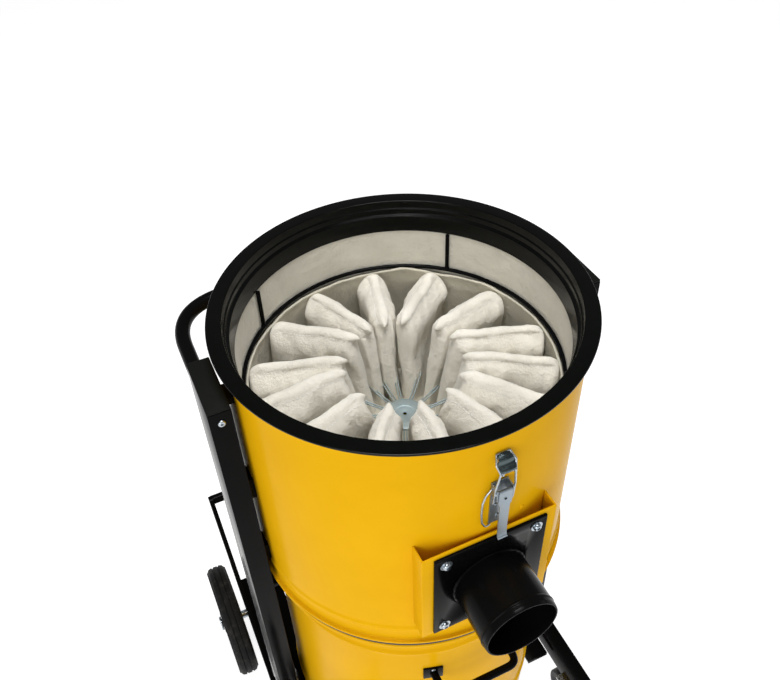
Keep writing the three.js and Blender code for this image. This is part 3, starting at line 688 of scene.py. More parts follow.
class Pocket:
    """A pleat of felt sewn along its ridge, open below, leaning from its ridge to an even spacing.

    DEPTHS are the rows of the felt in mm below the ridge. PILLOW and PIPED are two half widths in mm
    at PROFILE_DEPTHS: a soft fold, and one with a piped hem. HEM is the depth of the stitches.
    """

    HEM = 8.6
    DEPTHS = [0, 0.5, 1.3, 2.6, 4.4, 6.2, 7.6, 8.6, 9.6, 11, 13, 16, 20, 25, 31, 38, 46, 55]
    PROFILE_DEPTHS = [0, 0.5, 1.3, 2.6, 4.4, 6.2, 8.6, 11, 15, 21, 30, 42, 70, 230]
    PILLOW = [1.6, 3.3, 4.9, 6.7, 8.4, 9.8, 11.5, 13.2, 15.6, 18.4, 20.6, 20.4, 17.5, 10.5]
    PIPED = [1.6, 3.0, 4.2, 5.2, 5.9, 6.2, 6.2, 8.0, 12.2, 16.6, 19.6, 20.0, 17.5, 10.5]
    LOWER = 14
    COLUMNS = 40

    def __init__(self, index, ridge, evened):
        self.index = index
        (self.inner_r, self.inner_az), (self.outer_r, self.outer_az) = ridge
        self.evened = evened
        rng = random.Random(100 + index)
        self.ear = rng.uniform(3.5, 7.5) * MM
        self.droop = rng.uniform(1.0, 5.0) * MM
        self.hump = rng.uniform(1.5, 5.5) * MM
        self.skew = rng.uniform(0.3, 0.62)
        self.fat = rng.uniform(0.93, 1.1)
        self.lean = rng.uniform(-1.5, 1.5) * MM
        self.piping = rng.uniform(0.0, 0.85)
        self.neighbours = []

    def azimuth(self, r, low):
        """Azimuth of the pleat's middle at a radius, low going from 0 at the ridge to 1 at the floor."""
        t = min(1, max(0, (r - self.inner_r) / (self.outer_r - self.inner_r)))
        top = self.inner_az + t * wrapped(self.outer_az - self.inner_az)
        off = wrapped(self.evened - top)
        return top + 0.62 * low * off

    def room(self, r, low):
        """Half the way to the nearer neighbour."""
        here = self.azimuth(r, low)
        gaps = [abs(wrapped(p.azimuth(r, low) - here)) for p in self.neighbours]
        return r * math.sin(math.radians(min(gaps) / 2)) - 0.7 * MM

    def top(self, t):
        inner_z, outer_z = RIM_Z - 98 * MM, RIM_Z - 107 * MM
        hump = self.hump * math.sin(math.pi * t ** self.skew)
        dip = -self.droop * math.exp(-(t / 0.1) ** 2)
        key = self.index * 3.1
        return (inner_z + (outer_z - inner_z) * t + hump + dip
                + 2.4 * MM * flowing(t * 5.5, key, 0) + 0.9 * MM * flowing(t * 16, key, 4))

    def point(self, t, depth, side):
        """A point of the felt: t along the pleat, depth below its ridge in mm, side -1 or 1."""
        height = (RIM_Z - 107 * MM - floor_height(self.inner_r + t * (self.outer_r - self.inner_r))) / MM + 2
        low = min(1, depth / height)
        ear = self.ear * math.exp(-((depth - 4) / 4.6) ** 2)
        spine = 33 * MM * max(0, (depth - 16) / (height - 16)) ** 0.9
        corner = 15 * MM * max(0, 1 - depth / 17) ** 1.8
        foot = 7 * MM * min(1, max(0, (depth - height + 20) / 20)) ** 2
        start, end = self.inner_r - ear - spine, self.outer_r - corner - foot
        a0, a1 = (math.radians(self.azimuth(r, low)) for r in (self.inner_r, self.outer_r))
        inner = Vector((start * math.cos(a0), start * math.sin(a0)))
        outer = Vector((end * math.cos(a1), end * math.sin(a1)))
        along = outer - inner
        length = along.length
        along.normalize()
        across = Vector((-along.y, along.x))

        pillow, piped = (float(np.interp(depth, self.PROFILE_DEPTHS, half))
                         for half in (self.PILLOW, self.PIPED))
        piping = min(1, max(0, self.piping + 0.5 * flowing(t * 3.2, self.index * 2.7, 6)))
        width = (pillow + (piped - pillow) * piping) * MM
        bulk = max(0.0, min(1.0, (depth - 9) / 20))
        width *= 1 + bulk * (self.fat * (0.8 + 0.5 * t) - 1)
        r = (inner + along * length * t).length
        slot = 0.66 + 0.34 * min(1, max(0, (r - 52 * MM) / (30 * MM)))
        width = min(width, max(2.4 * MM, slot * self.room(r, low)))
        cap_in = (9 + 11 * math.exp(-((depth - 3) / 6) ** 2)) * MM
        cap_out = (9 + 9 * bulk) * MM
        near, far = t * length, (1 - t) * length
        power_in = 1.45 + 1.75 * bulk
        shape = 1.0
        if near < cap_in:
            shape = max(0, 1 - (1 - near / cap_in) ** power_in) ** (1 / power_in)
        if far < cap_out:
            shape = min(shape, max(0, 1 - (1 - far / cap_out) ** 2.2) ** (1 / 2.2))
        mm = t * length / MM
        key = self.index * 11.7 + side * 3.3
        folds = 4.6 * flowing(mm / 36, depth / 46, key) + 3.3 * flowing(mm / 15, depth / 40, key + 5)
        pucker = 2.3 * flowing(mm / 8, depth / 30, key + 9) * math.exp(-((depth - 20) / 12) ** 2)
        fine = 0.45 * flowing(mm / 4.5, depth / 6, key + 2)
        width += (folds * bulk + pucker + fine) * MM * min(1, shape * 1.5)
        sway = (3.6 * flowing(mm / 30, self.index * 5.3, 0) * math.exp(-depth / 14)) * MM
        sway += self.lean * math.exp(-depth / 20)
        place = inner + along * near + across * (side * max(0.0, width) * shape + sway * shape)
        return Vector((place.x, place.y, self.top(t) - depth * MM))

    def depths(self, t):
        r = self.inner_r + t * (self.outer_r - self.inner_r)
        bottom = (self.top(t) - floor_height(r)) / MM - 0.4
        last = self.DEPTHS[-1]
        return self.DEPTHS + [last + (bottom - last) * (k + 1) / self.LOWER for k in range(self.LOWER)]

    def shell(self):
        """Vertices and faces of the pleat, closed along its ridge and its ends."""
        n = self.COLUMNS
        stops = [(1 - math.cos(math.pi * k / n)) / 2 * 0.55 + 0.45 * k / n for k in range(n + 1)]
        loop = [(t, 1) for t in stops] + [(t, -1) for t in stops[-2:0:-1]]
        columns = [[self.point(t, d, side) for d in self.depths(t)] for t, side in loop]
        rows, around = len(columns[0]), len(loop)
        verts = [column[j] for j in range(rows) for column in columns]
        faces = [(j * around + k, j * around + (k + 1) % around,
                  (j + 1) * around + (k + 1) % around, (j + 1) * around + k)
                 for j in range(rows - 1) for k in range(around)]
        for k in range(n):
            left, right = (around - k) % around, (around - k - 1) % around
            corners = [k, left, right, k + 1]
            face = [c for i, c in enumerate(corners) if c not in corners[:i]]
            faces.append(tuple(face))
        return np.array([v[:] for v in verts]), faces

    def stitches(self):
        """Short raised threads along both sides of the hem."""
        out = []
        pitch, length = 4.6, 3.0
        for side in (-1, 1):
            run = (self.outer_r - self.inner_r) / MM
            for k in range(int(run * 0.86 / pitch)):
                t0 = (6 + k * pitch) / run
                ends = [self.point(t0 + length * f / run, self.HEM, side) for f in (0, 0.5, 1)]
                a = math.radians(self.azimuth((self.inner_r + self.outer_r) / 2, 0) + 90 * side)
                push = Vector((math.cos(a), math.sin(a), 0.2)) * 0.42 * MM
                path = [ends[0] + push * 0.1, ends[1] + push, ends[2] + push * 0.1]
                out.append(tube([p[:] for p in path], [0.42 * MM, 0.5 * MM, 0.42 * MM], 6))
        return out


def pocket_nodes():
    return sorted(n for n in frame["nodes"] if n.startswith("filter_pocket_"))


def make_filter():
    names = pocket_nodes()
    ridges = [ridge_of(n) for n in names]
    step = 360 / len(names)
    turns = [wrapped(ridge[0][1] - k * step) for k, ridge in enumerate(ridges)]
    start = sum(turns) / len(turns)
    pockets = [Pocket(k, ridge, start + k * step) for k, ridge in enumerate(ridges)]
    threads = []
    for k, pocket in enumerate(pockets):
        pocket.neighbours = [pockets[k - 1], pockets[(k + 1) % len(pockets)]]
    for pocket, node in zip(pockets, names):
        obj = piece(node.replace("pocket", "pleat"), [pocket.shell()], FELT, "filter", [node],
                    80)
        thickened(obj, 1.4 * MM)
        smooth(obj, 80)
        threads += pocket.stitches()
    piece("filter_stitching", threads, THREAD, "filter", crease=70)
    make_band()
    make_star_wall()
    make_cage()


def smooth(obj, crease):
    obj.data.shade_smooth()
    obj.data.set_sharp_from_angle(angle=math.radians(crease))


# Creases of the band: azimuth in degrees, and how far each slants on its way down.
BAND_CREASES = [(158, 5), (164, -4), (171, 7), (196, -5), (203, 6), (20, 5), (352, -6)]


def make_band():
    """Plain felt between the rim and the ring, sewn up its back and turned over at its foot."""
    ring_low, ring_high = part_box("support_ring")
    ring_z = ring_low.z + RING_WIRE
    r, top, low = ring_high.x + 1.1 * MM, RIM_BOTTOM - 0.3 * MM, RIM_Z - 121 * MM
    rods = rod_azimuths()
    segments, rows = 220, 14
    verts, faces = [], []
    for i in range(segments):
        a = 2 * math.pi * i / segments
        for j in range(rows + 1):
            t = j / rows
            z = top + (low - top) * t
            slack = math.sin(math.pi * t) * (1 - math.exp(-((z - ring_z) / (9 * MM)) ** 2))
            for rod in rods:
                off = wrapped(math.degrees(a) - rod)
                slack *= 1 - math.exp(-(off / 2.2) ** 2)
            bulge = 0.9 * flowing(math.cos(a) * 4.2, math.sin(a) * 4.2, t * 0.9)
            tug = 0.5 * flowing(math.cos(a) * 15, math.sin(a) * 15, t * 1.4 + 9)
            rr = r + (bulge + tug) * MM * slack + (0.4 * MM if t > 0.93 else 0)
            for crease, slant in BAND_CREASES:
                off = wrapped(math.degrees(a) - crease - slant * t)
                rr -= 2.3 * MM * math.exp(-(off / 1.5) ** 2) * slack
            verts.append((rr * math.cos(a), rr * math.sin(a), z))
    width = rows + 1
    for i in range(segments):
        j2 = (i + 1) % segments
        for j in range(rows):
            faces.append((i * width + j, j2 * width + j, j2 * width + j + 1, i * width + j + 1))
    # The band's felt is darkened as painted shade.
    band = piece("filter_band", [(verts, faces)], BAND_FELT_PAINTED_SHADE, "filter", crease=70)
    thickened(band, 0.8 * MM)
    smooth(band, 70)


def make_star_wall():
    """Felt wall and floor round the pleats, with a rolled hem that rides up over the ring."""
    r = 207.6 * MM
    hem_z = RIM_Z - 117.5 * MM
    t = 0.75 * MM
    bead = 2.1 * MM
    floor_out = floor_height(r)
    inner = [(r - bead * math.cos(a) + 0.2 * MM, hem_z + bead * math.sin(a))
             for a in np.linspace(-0.9, math.pi + 0.9, 13)]
    down_in = [(r - t, hem_z - (hem_z - floor_out - 8 * MM) * k / 16) for k in range(1, 16)]
    down_out = [(r + t, z) for _, z in down_in[::-1]]
    radii = np.linspace(r - 3 * MM, 27 * MM, 22)
    heights = [floor_height(q) if q > 45 * MM else
               floor_height(45 * MM) + (RIM_Z - 209 * MM - floor_height(45 * MM)) * (45 * MM - q) / (18 * MM)
               for q in radii]
    floor_up = [(q, z + t) for q, z in zip(radii, heights)]
    floor_down = [(q, z - t) for q, z in zip(radii, heights)][::-1]
    section = inner[::-1] + down_in + floor_up + floor_down + down_out
    segments = 240
    verts, faces = revolve(section[::-1], segments)
    for i, v in enumerate(verts):
        a = math.atan2(v[1], v[0])
        rr = math.hypot(v[0], v[1])
        if rr < r - 8 * MM:
            continue
        c, s = math.cos(a), math.sin(a)
        near_top = math.exp(-((hem_z - v[2]) / (26 * MM)) ** 2) if v[2] < hem_z else 1.0
        wave = 2.6 * flowing(c * 3.1, s * 3.1, 1.7) + 1.6 * flowing(c * 8, s * 8, 4.1)
        body = 1.3 * flowing(c * 5, s * 5, v[2] * 14)
        ripple = 0.7 * flowing(c * 19, s * 19, v[2] * 30)
        shift = (-abs(wave) * 1.1 * near_top + body + ripple) * MM
        lift = (2.4 * flowing(c * 3.6, s * 3.6, 8.3) + 1.7 * flowing(c * 9, s * 9, 2.2)) * MM * near_top
        for degrees, reach, rise in ((64, 8, 6.5), (25, 10, 5.5), (97, 7, 2.5)):
            off = wrapped(math.degrees(a) - degrees)
            swell = math.exp(-(off / reach) ** 2)
            lift += rise * MM * swell * near_top
            shift -= 2.2 * MM * swell * near_top
        verts[i] = ((rr + shift) * c, (rr + shift) * s, v[2] + lift)
    # The wall and floor felt is darkened as painted shade.
    wall = piece("filter_star_wall", [(verts, faces)], WALL_FELT_PAINTED_SHADE, "filter", ["filter_sleeve"],
                 75)


def make_cage():
    """Zinc hub and wires that spread the pleats, and the black ring that the felt hangs from."""
    hub_r = 28.7 * MM
    top = HUB_TOP
    section = filleted([(2.4 * MM, top - 2 * MM), (hub_r - 1.2 * MM, top - 2 * MM), (hub_r, top - 2.8 * MM),
                        (hub_r, top - 1.0 * MM), (hub_r - 1.4 * MM, top), (15 * MM, top),
                        (14 * MM, top - 0.4 * MM), (2.4 * MM, top - 0.4 * MM)], 0.4 * MM, 3)
    piece("filter_hub", [revolve(section, 96)], HUB_ZINC, "filter", ["filter_cage"], 40)
    wires = []
    for azimuth in slot_azimuths():
        for side in (-1, 1):
            root = (24 * MM, 1.9 * side * MM, top - 3.0 * MM)
            knee = (44 * MM, 1.7 * side * MM, top - 1.5 * MM)
            tip = (78 * MM, 1.9 * side * MM, top + 5 * MM)
            wires.append(turned(tube(bent([root, knee, tip], 30 * MM, 8), 1.05 * MM, 10), azimuth, "Z"))
    piece("filter_spreader_wires", wires, HUB_ZINC, "filter", crease=50)

    low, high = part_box("support_ring")
    wire = RING_WIRE
    r = high.x - wire
    z = low.z + wire
    shapes = [tube(circle_points(r, z, 240), wire, 16, True)]
    for a in rod_azimuths():
        shapes.append(tube([polar(r, a, h) for h in np.linspace(z, high.z, 6)], wire, 14))
        bead = [polar(r, a, z + wire * f) for f in (0.7, 1.0, 1.4, 1.8)]
        shapes.append(tube(bead, [wire * 0.9, wire * 1.45, wire * 1.25, wire * 0.9], 12))
    piece("filter_ring", shapes, BLACK, "filter", ["support_ring"], 60)


def slot_azimuths():
    """Midway between neighbouring ridges' inner ends."""
    inner = [ridge_of(n)[0][1] for n in pocket_nodes()]
    out = []
    for k, a in enumerate(inner):
        after = inner[(k + 1) % len(inner)]
        out.append(a + ((after - a) % 360) / 2)
    return out


# ---------------------------------------------------------------- frame tubes, caps and handles
def pan_head(place, direction, r, height):
    """A pan-head screw with a round socket."""
    socket = r * 0.42
    profile = [(0, 0), (r, 0), (r, height * 0.35), (r * 0.94, height * 0.72), (r * 0.78, height * 0.95),
               (r * 0.6, height), (socket, height), (socket * 0.9, height * 0.35), (0, height * 0.3)]
    return facing(revolve(profile, 32, closed=False), place, direction)


def hex_head(place, direction, r, height):
    """A hexagon head with a chamfered top and a washer face."""
    washer = revolve(filleted([(0.1 * MM, 0), (r * 1.25, 0), (r * 1.25, 0.9 * MM), (0.1 * MM, 0.9 * MM)],
                              [0, 0.3 * MM, 0.3 * MM, 0]), 32)
    profile = [(0, 0.7 * MM), (r, 0.7 * MM), (r, height * 0.82), (r * 0.86, height), (0, height)]
    head = revolve(profile, 6, closed=False)
    return [facing(washer, place, direction), facing(head, place, direction)]


def make_frame():
    for side in ("left", "right"):
        s = -1 if side == "left" else 1
        low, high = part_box(f"{side}_cap_screw")
        centre = ((low.x + high.x) / 2, high.y, (low.z + high.z) / 2)
        r = (high.x - low.x) / 2
        piece(f"{side}_cap_pan_screw", [pan_head(centre, (0, -1, 0), r, high.y - low.y)], ZINC,
              "chassis", [f"{side}_cap_screw"], 40)
        post_low, post_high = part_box(f"{side}_upright")
        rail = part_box("base_frame")
        x = s * (abs(post_low.x if s < 0 else post_high.x) - 14.3 * MM)
        plug = rounded_box((x - 13 * MM, rail[1].y - 1 * MM, rail[0].z + 1.2 * MM),
                           (x + 13 * MM, rail[1].y - 0.05 * MM, rail[1].z - 1.2 * MM), 1 * MM)
        piece(f"{side}_rail_plug", [plug], CAP, "chassis")
        welds = []
        foot = rail[1].z
        outer = s * (abs(x) + 14.2 * MM)
        inner = s * (abs(x) - 14.2 * MM)
        for xx in (outer, inner):
            welds.append([(xx, y, foot + 0.6 * MM) for y in np.linspace(-44 * MM, 44 * MM, 34)])
        for yy in (-46 * MM, 46 * MM):
            welds.append([(t, yy, foot + 0.6 * MM) for t in np.linspace(inner, outer, 12)])
        beads = [tube(w, [(2.1 + 0.5 * math.sin(2.4 * i)) * MM for i in range(len(w))], 8) for w in welds]
        piece(f"{side}_upright_weld", beads, BLACK, "chassis", crease=60)

    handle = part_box("push_handle")
    r = (handle[1].z - handle[0].z) / 2
    x, back, start = handle[1].x - r, handle[1].y - r, handle[0].y
    z = handle[0].z + r
    route = bent([(-x, start, z), (-x, back, z), (x, back, z), (x, start, z)], 88 * MM, 22)
    collars = []
    for k in (-x, x):
        ring = revolve(filleted([(r - 0.5 * MM, 0), (r + 3 * MM, 0), (r + 3 * MM, 2.4 * MM),
                                 (r + 0.5 * MM, 5 * MM), (r - 0.5 * MM, 5 * MM)], 0.5 * MM), 32)
        collars.append(facing(ring, (k, start + 0.1 * MM, z), (0, 1, 0)))
    piece("push_handle_tube", [tube(route, r, 28)] + collars, BLACK, "chassis", ["push_handle"],
          50)


# ---------------------------------------------------------------- wheels and casters
def wheel_at(section, node, radius_fillet, segments=96):
    """A section of (r, x) about a wheel's own axle."""
    low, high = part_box(node)
    centre = ((low.x + high.x) / 2, (low.y + high.y) / 2, (low.z + high.z) / 2)
    return revolve(filleted(section, radius_fillet), segments, centre, "X"), centre


def make_rear_wheels():
    for side in ("left", "right"):
        s = -1 if side == "left" else 1
        tyre, hub = f"{side}_tyre", f"{side}_wheel_hub"
        low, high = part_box(tyre)
        r, half = (high.z - low.z) / 2, (high.x - low.x) / 2
        rim = (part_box(hub)[1].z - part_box(hub)[0].z) / 2
        groove = 2.2 * MM
        section = mirrored([
            (rim + 0.3 * MM, -half + 2 * MM), (rim + 12 * MM, -half + 0.6 * MM), (r - 9 * MM, -half),
            (r - 1.6 * MM, -half + 5 * MM), (r, -half + 11 * MM), (r, -6.8 * MM),
            (r - groove, -6.5 * MM), (r - groove, -4.5 * MM), (r, -4.2 * MM)])
        body, centre = wheel_at(section, tyre, 1.0 * MM, 160)
        ribs = []
        for k in range(72):
            for face in (-1, 1):
                middle = face * (half - 0.9 * MM)
                block = rounded_box((middle - 0.9 * MM, r - 13 * MM, -1.5 * MM),
                                    (middle + 0.9 * MM, r - 7 * MM, 1.5 * MM), 0.6 * MM, 1)
                ribs.append(turned(block, 5 * k, "X", centre))
        piece(f"{side}_tyre_rubber", [body] + ribs, TYRE, f"{side}_rear_wheel", [tyre], 40)

        hub_half = (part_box(hub)[1].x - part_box(hub)[0].x) / 2
        bore = 8.3 * MM
        disc = mirrored([
            (bore, -hub_half), (20 * MM, -hub_half), (22 * MM, -hub_half + 2 * MM), (24 * MM, -7 * MM),
            (rim - 14 * MM, -4 * MM), (rim - 6 * MM, -half + 6 * MM), (rim, -half + 4 * MM)])
        shape, centre = wheel_at(disc, hub, 1.4 * MM)
        spokes = []
        for k in range(6):
            for face in (-1, 1):
                rib = rounded_box((face * 9 * MM - 6 * MM, 21 * MM, -2 * MM),
                                  (face * 9 * MM + 6 * MM, rim - 8 * MM, 2 * MM), 1.2 * MM)
                spokes.append(turned(rib, 60 * k, "X", centre))
        piece(f"{side}_wheel_centre", [shape] + spokes, WHEEL, f"{side}_rear_wheel", [hub],
              35)
        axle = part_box(f"{side}_axle")
        tip = axle[1].x if s > 0 else axle[0].x
        cap = revolve([(0, 0), (11.5 * MM, 0), (11.5 * MM, 1.2 * MM), (9 * MM, 2.6 * MM), (0, 3 * MM)], 40,
                      closed=False)
        start = (tip - s * 2.9 * MM, centre[1], centre[2])
        piece(f"{side}_axle_cap", [facing(cap, start, (s, 0, 0))], ZINC, "chassis", crease=40)


def small_wheel(node, name, body):
    """A solid caster wheel: a tread with rounded shoulders and a stepped hub."""
    low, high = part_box(node)
    r, half = (high.z - low.z) / 2, (high.x - low.x) / 2
    bore = 4.2 * MM
    section = mirrored([
        (bore, -half), (9 * MM, -half), (10.5 * MM, -half + 2 * MM), (r * 0.6, -half + 3.4 * MM),
        (r * 0.7, -half + 1.2 * MM), (r - 4 * MM, -half + 0.4 * MM), (r - 0.6 * MM, -half + 3 * MM),
    ], [(r, 0)])
    shape, centre = wheel_at(section, node, 1.3 * MM)
    piece(name, [shape], WHEEL, body, [node], 35)
    return centre


def axle_nuts(centre, reach, r, height):
    """A hexagon head at each end of a wheel's axle."""
    return [shape for s in (-1, 1)
            for shape in hex_head((centre[0] + s * reach, centre[1], centre[2]), (s, 0, 0), r, height)]


def make_casters():
    for side in ("left", "right"):
        centre = small_wheel(f"{side}_caster_wheel", f"{side}_caster_tread", f"{side}_caster_wheel")
        piece(f"{side}_caster_nuts", axle_nuts(centre, 17.2 * MM, 5.4 * MM, 5 * MM), ZINC,
              f"{side}_caster", crease=30)
    for k in range(1, 5):
        centre = small_wheel(f"bin_roller_{k}", f"bin_roller_tread_{k}", f"bin_roller_{k}")
        piece(f"bin_roller_nuts_{k}", axle_nuts(centre, 16.1 * MM, 5 * MM, 4.4 * MM), ZINC, "bin",
              crease=30)


# ---------------------------------------------------------------- dust bin
def make_bin():
    low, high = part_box("bin_shell")
    rim_r, bottom, top = high.x, low.z, high.z
    r, wall = rim_r - 17 * MM, 2 * MM
    bead, reach = 3 * MM, 8 * MM
    lower, upper = bottom + 78 * MM, top - 56 * MM
    outer = [(0.1 * MM, bottom), (r - 12 * MM, bottom), (r, bottom + 9 * MM),
             *swage(r, bead, lower, reach), *swage(r, bead, upper, reach),
             (r, top - 12 * MM), (rim_r - 3 * MM, top - 8.5 * MM), (rim_r, top - 6 * MM),
             (rim_r, top - 1.6 * MM), (rim_r - 2 * MM, top)]
    inner = [(r - wall, top), *swage(r - wall, bead, upper, reach)[::-1],
             *swage(r - wall, bead, lower, reach)[::-1], (r - wall, bottom + 10 * MM),
             (r - 13 * MM, bottom + 2 * MM), (0.1 * MM, bottom + 2 * MM)]
    radii = [0, 5, 5] + [4] * 9 + [1.5] * 4 + [0.5] + [4] * 10 + [0]
    section = filleted(outer + inner, [v * MM for v in radii])
    piece("bin_drum", [revolve(section, 224)], YELLOW, "bin", ["bin_shell"], 40)
    seam = [(0.2 * MM * math.sin(z * 900), r + 0.1 * MM, z)
            for z in np.linspace(bottom + 90 * MM, top - 68 * MM, 70)]
    piece("bin_seam", [tube(seam, [1.4 * MM] * len(seam), 8)], YELLOW, "bin",
          crease=60)
    lo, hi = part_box("bin_seal")
    seal = filleted([(hi.x - 16 * MM, lo.z), (hi.x, lo.z), (hi.x, hi.z), (hi.x - 16 * MM, hi.z)], 2.6 * MM)
    piece("bin_seal_ring", [revolve(seal, 200)], RIM_RUBBER, frame["nodes"]["bin_seal"]["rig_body"],
          ["bin_seal"], 40)
    for side, s in (("front", -1), ("rear", 1)):
        make_bin_handle(side, s, r)


def make_bin_handle(side, s, r):
    node = f"bin_handle_{side}"
    low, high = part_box(node)
    z = (low.z + high.z) / 2
    far = (abs(low.y) if s < 0 else abs(high.y)) - 6 * MM
    root = r * 0.966
    route = bent([(-60 * MM, s * root, z), (-60 * MM, s * far, z), (60 * MM, s * far, z),
                  (60 * MM, s * root, z)], 16 * MM, 12)
    shapes = [tube(route, 6 * MM, 20)]
    feet, rivets = [], []
    for x in (-60 * MM, 60 * MM):
        lean = math.asin(x / r)
        out = Vector((math.sin(lean), s * math.cos(lean), 0))
        spot = out * (r + 0.3 * MM)
        plate = rounded_box((-15 * MM, -15 * MM, 0), (15 * MM, 15 * MM, 2.4 * MM), 1.1 * MM)
        turn = Matrix((Vector((0, 0, 1)).cross(out), Vector((0, 0, 1)), out)).transposed()
        feet.append((np.array(plate[0]) @ np.array(turn).T + np.array((spot.x, spot.y, z)), plate[1]))
        seat = out * (r + 2.7 * MM)
        for dz in (-10 * MM, 10 * MM):
            rivets.append(dome((seat.x, seat.y, z + dz), out, 3 * MM, 1.7 * MM))
    piece(f"bin_{side}_bow_handle", shapes + feet, BLACK, "bin", [node], 50)
    piece(f"bin_{side}_handle_rivets", rivets, ZINC, "bin", crease=50)


# ---------------------------------------------------------------- lift lever behind the bin
def make_lift():
    node = "lift_bail"
    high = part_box(node)[1]
    pivot = Vector((0, 0, LIFT_PIVOT_Z))
    bar = Vector((0, LIFT_BAR_Y, LIFT_BAR_Z))
    along = (bar - pivot).normalized()
    normal = Vector((1, 0, 0)).cross(along)
    reach = (bar - pivot).length
    boss, half, inset = 18 * MM, 10 * MM, 0.9 * MM
    inner, outer = high.x - 8 * MM, high.x
    outline = [(boss * math.cos(a), boss * math.sin(a))
               for a in (math.pi / 2 + math.pi * k / 16 for k in range(17))]
    outline += [(26 * MM, -half), (reach - half, -half)]
    outline += [(reach - half + half * math.cos(a), half * math.sin(a))
                for a in (-math.pi / 2 + math.pi * k / 8 for k in range(9))]
    outline += [(26 * MM, half)]
    count = len(outline)
    shapes = []
    for s in (-1, 1):
        a0, a1 = sorted((s * inner, s * outer))
        verts = []
        for x, shrink in ((a0, inset), (a0 + inset, 0), (a1 - inset, 0), (a1, inset)):
            for u, v in outline:
                place = pivot + along * u + normal * (v * (1 - shrink / half))
                verts.append((x, place.y, place.z))
        faces = [(ring * count + k, ring * count + (k + 1) % count,
                  (ring + 1) * count + (k + 1) % count, (ring + 1) * count + k)
                 for ring in range(3) for k in range(count)]
        faces.append(tuple(range(count)))
        faces.append(tuple(3 * count + k for k in range(count))[::-1])
        shapes.append((np.array(verts), faces))
    grip_at = pivot + along * (reach - 8 * MM)
    x = high.x - 4 * MM
    shapes.append(tube([(-x, *grip_at.yz), (0, *grip_at.yz), (x, *grip_at.yz)], 8.6 * MM, 28))
    body = frame["nodes"][node]["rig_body"]
    piece("lift_bail_arms", shapes, BLACK, body, [node], 30)
    ribs = []
    for k in range(61):
        xx = (-150 + 5 * k) * MM
        ribs += [(xx - 1.6 * MM, 9.0 * MM), (xx, 10.0 * MM), (xx + 1.6 * MM, 9.0 * MM)]
    path = ([(-156 * MM, 8.7 * MM), (-154 * MM, 10.2 * MM)] + ribs
            + [(154 * MM, 10.2 * MM), (156 * MM, 8.7 * MM)])
    grip = tube([(px, *grip_at.yz) for px, _ in path], [pr for _, pr in path], 28)
    piece("lift_grip", [grip], GRIP, body, crease=50)
    nuts = []
    for s in (-1, 1):
        nuts += hex_head((s * (high.x + 0.1 * MM), 0, pivot.z), (s, 0, 0), 9 * MM, 7 * MM)
    piece("lift_pivot_nuts", nuts, ZINC, "lift_lever", crease=30)


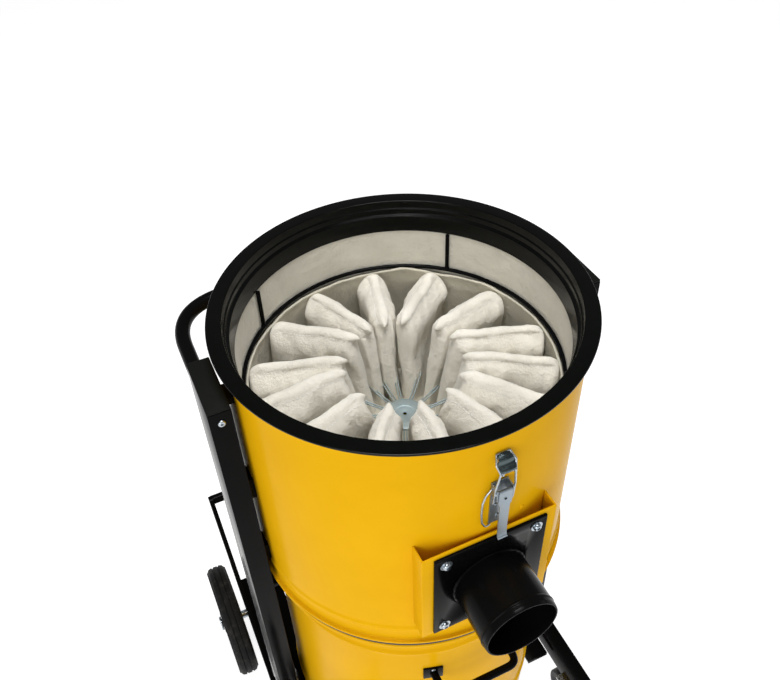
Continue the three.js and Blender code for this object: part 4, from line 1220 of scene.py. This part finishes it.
# ---------------------------------------------------------------- toggle latch
def make_latch():
    low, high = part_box("latch_bail")
    x = (low.x + high.x) / 2
    wire = 1.3 * MM
    pin_y, link_z, hook_z = LATCH_PIN_Y, RIM_Z - 116 * MM, RIM_Z - 57 * MM
    link_y, knee_y = pin_y + 0.5 * MM, pin_y - 4.5 * MM
    tip_z, tip_y = high.z - wire, -CHAMBER_R - wire - 0.5 * MM
    mid_y, mid_z = knee_y + 0.5 * (tip_y - knee_y) - 1.2 * MM, hook_z + 0.52 * (tip_z - hook_z)
    shapes = []
    for k in (-1, 1):
        route = bent([(x + k * 6.4 * MM, link_y, link_z), (x + k * 12.6 * MM, link_y, link_z),
                      (x + k * 12.6 * MM, (link_y + knee_y) / 2, RIM_Z - 86 * MM),
                      (x + k * 9.4 * MM, knee_y, hook_z), (x + k * 12.2 * MM, mid_y, mid_z),
                      (x + k * 8.2 * MM, tip_y, tip_z)], 4 * MM, 10)
        shapes.append(tube(route, wire, 14))
    for y, z, half in ((knee_y, hook_z, 10.4), (tip_y, tip_z, 8.2)):
        shapes.append(tube([(x - half * MM, y, z), (x, y, z), (x + half * MM, y, z)], wire, 14))
    for k in (-1, 1):
        eye = revolve(filleted([(1.4 * MM, -1 * MM), (3.0 * MM, -1 * MM), (3.0 * MM, 1 * MM),
                                (1.4 * MM, 1 * MM)], 0.4 * MM), 28)
        shapes.append(facing(eye, (x + k * 7.6 * MM, knee_y, hook_z), (1, 0, 0)))
    piece("latch_bail_wires", shapes, ZINC, "latch_bail", ["latch_bail"], 50)
    hook = lofted_strip([
        (x, knee_y, hook_z, 8.2 * MM), (x, knee_y - 1.0 * MM, hook_z + 4 * MM, 9.6 * MM),
        (x, mid_y - 0.8 * MM, mid_z - 1 * MM, 10.6 * MM), (x, mid_y + 1.4 * MM, mid_z + 5 * MM, 9 * MM),
        (x, tip_y, tip_z, 7.2 * MM)], 1.6 * MM, 1.1 * MM)
    # The hook plate's darkened zinc is a painted reflection of the rim.
    piece("latch_hook_plate", [hook], HOOK_ZINC_PAINTED_REFLECTION, "latch_bail", crease=40)

    face = pin_y - 4.6 * MM
    top, waist, foot = RIM_Z - 91.5 * MM, RIM_Z - 116 * MM, RIM_Z - 171 * MM
    strip = lofted_strip([(x, face + 1.6 * MM, top + 0.4 * MM, 8.3 * MM), (x, face, top - 2.5 * MM, 8.6 * MM),
                          (x, face - 0.2 * MM, (top + waist) / 2, 8.6 * MM), (x, face, waist, 8.4 * MM),
                          (x, face, waist - 4 * MM, 6.6 * MM), (x, face, foot, 6.3 * MM),
                          (x, face - 3.4 * MM, foot - 8 * MM, 6.5 * MM)], 0.0, 1.3 * MM)
    sides = [rounded_box((x + k * 8.3 * MM - 0.5 * MM, face + 0.4 * MM, waist + 2 * MM),
                         (x + k * 8.3 * MM + 0.5 * MM, pin_y - 0.6 * MM, top - 4 * MM), 0.45 * MM)
             for k in (-1, 1)]
    piece("latch_lever_channel", [strip] + sides, DULL_ZINC, "latch_lever", ["latch_lever"], 35)
    # A thin black disc on the lever's face: painted shade standing in for the inside of the lever's eye hole.
    eye_shade_place = (x, face - 0.75 * MM, RIM_Z - 105 * MM)
    piece("latch_lever_eye_painted_shade", [dome(eye_shade_place, (0, -1, 0), 1.7 * MM, 0.2 * MM)], CAP, "latch_lever",
          crease=50)

    rivets = [dome((x, -CHAMBER_R - 2.4 * MM, LATCH_PIN_Z - dz * MM), (0, -1, 0), 3.1 * MM, 1.3 * MM)
              for dz in (24, 56)]
    pin_heads = [dome((x + k * 10.9 * MM, pin_y, LATCH_PIN_Z), (k, 0, 0), 2.9 * MM, 1.3 * MM)
                 for k in (-1, 1)]
    piece("latch_rivets", rivets + pin_heads, ZINC, "chassis", crease=50)

    keeper_x = x - 14 * MM
    near, off = -CHAMBER_R - 1.6 * MM, -CHAMBER_R - 5 * MM
    path = bent([(keeper_x + 8 * MM, near, RIM_Z - 92 * MM), (keeper_x + 2 * MM, off, RIM_Z - 94 * MM),
                 (keeper_x - 5 * MM, off, RIM_Z - 102 * MM), (keeper_x - 9 * MM, off, RIM_Z - 116 * MM),
                 (keeper_x - 9.5 * MM, off, RIM_Z - 136 * MM), (keeper_x - 8 * MM, off, RIM_Z - 153 * MM),
                 (keeper_x - 3 * MM, off, RIM_Z - 164 * MM), (keeper_x + 5 * MM, near, RIM_Z - 168 * MM)],
                12 * MM, 10)
    piece("latch_safety_wire", [tube(path, 1.25 * MM, 12)], ZINC, "chassis", crease=50)


# ---------------------------------------------------------------- floor and light
def make_stage():
    bpy.context.scene.view_settings.view_transform = "Standard"
    bpy.ops.mesh.primitive_circle_add(vertices=96, radius=14, fill_type="NGON")
    floor = bpy.context.object
    floor.name = "floor"
    paper = Nodes("floor_paper")
    paper.link(paper.ramp(paper.noise(3, 2), [(0.3, (0.5, 0.5, 0.5)), (0.7, (0.54, 0.54, 0.54))]),
               "Base Color")
    paper.set(Roughness=0.9, Specular_IOR_Level=0.1, Emission_Color=(1, 1, 1, 1), Emission_Strength=0.84)
    floor.data.materials.append(paper.material)

    world = bpy.data.worlds.new("studio")
    world.use_nodes = True
    world.node_tree.nodes["Background"].inputs["Color"].default_value = (1, 1, 1, 1)
    world.node_tree.nodes["Background"].inputs["Strength"].default_value = 0.2
    bpy.context.scene.world = world

    for name, place, aim, size, power in (
        ("overhead", (0.0, -0.15, 3.1), (0, 0, 0.85), 0.9, 50),
        ("left_soft", (-2.4, -2.6, 1.9), (0, 0, 0.8), 2.4, 70),
        ("front_fill", (0.2, -3.4, 1.5), (0, 0, 0.6), 2.4, 6),
        ("right_soft", (2.8, -0.2, 1.4), (0, 0, 0.8), 0.8, 2.5),
    ):
        light = bpy.data.objects.new(name, bpy.data.lights.new(name, "AREA"))
        light.data.shape = "SQUARE"
        light.data.size = size
        light.data.energy = power
        light.location = place
        light.rotation_euler = (Vector(aim) - Vector(place)).to_track_quat("-Z", "Y").to_euler()
        bpy.context.scene.collection.objects.link(light)


make_stage()
make_chamber()
make_inlet()
make_rim()
quick_parts()
make_filter()
make_frame()
make_rear_wheels()
make_casters()
make_bin()
make_lift()
make_latch()
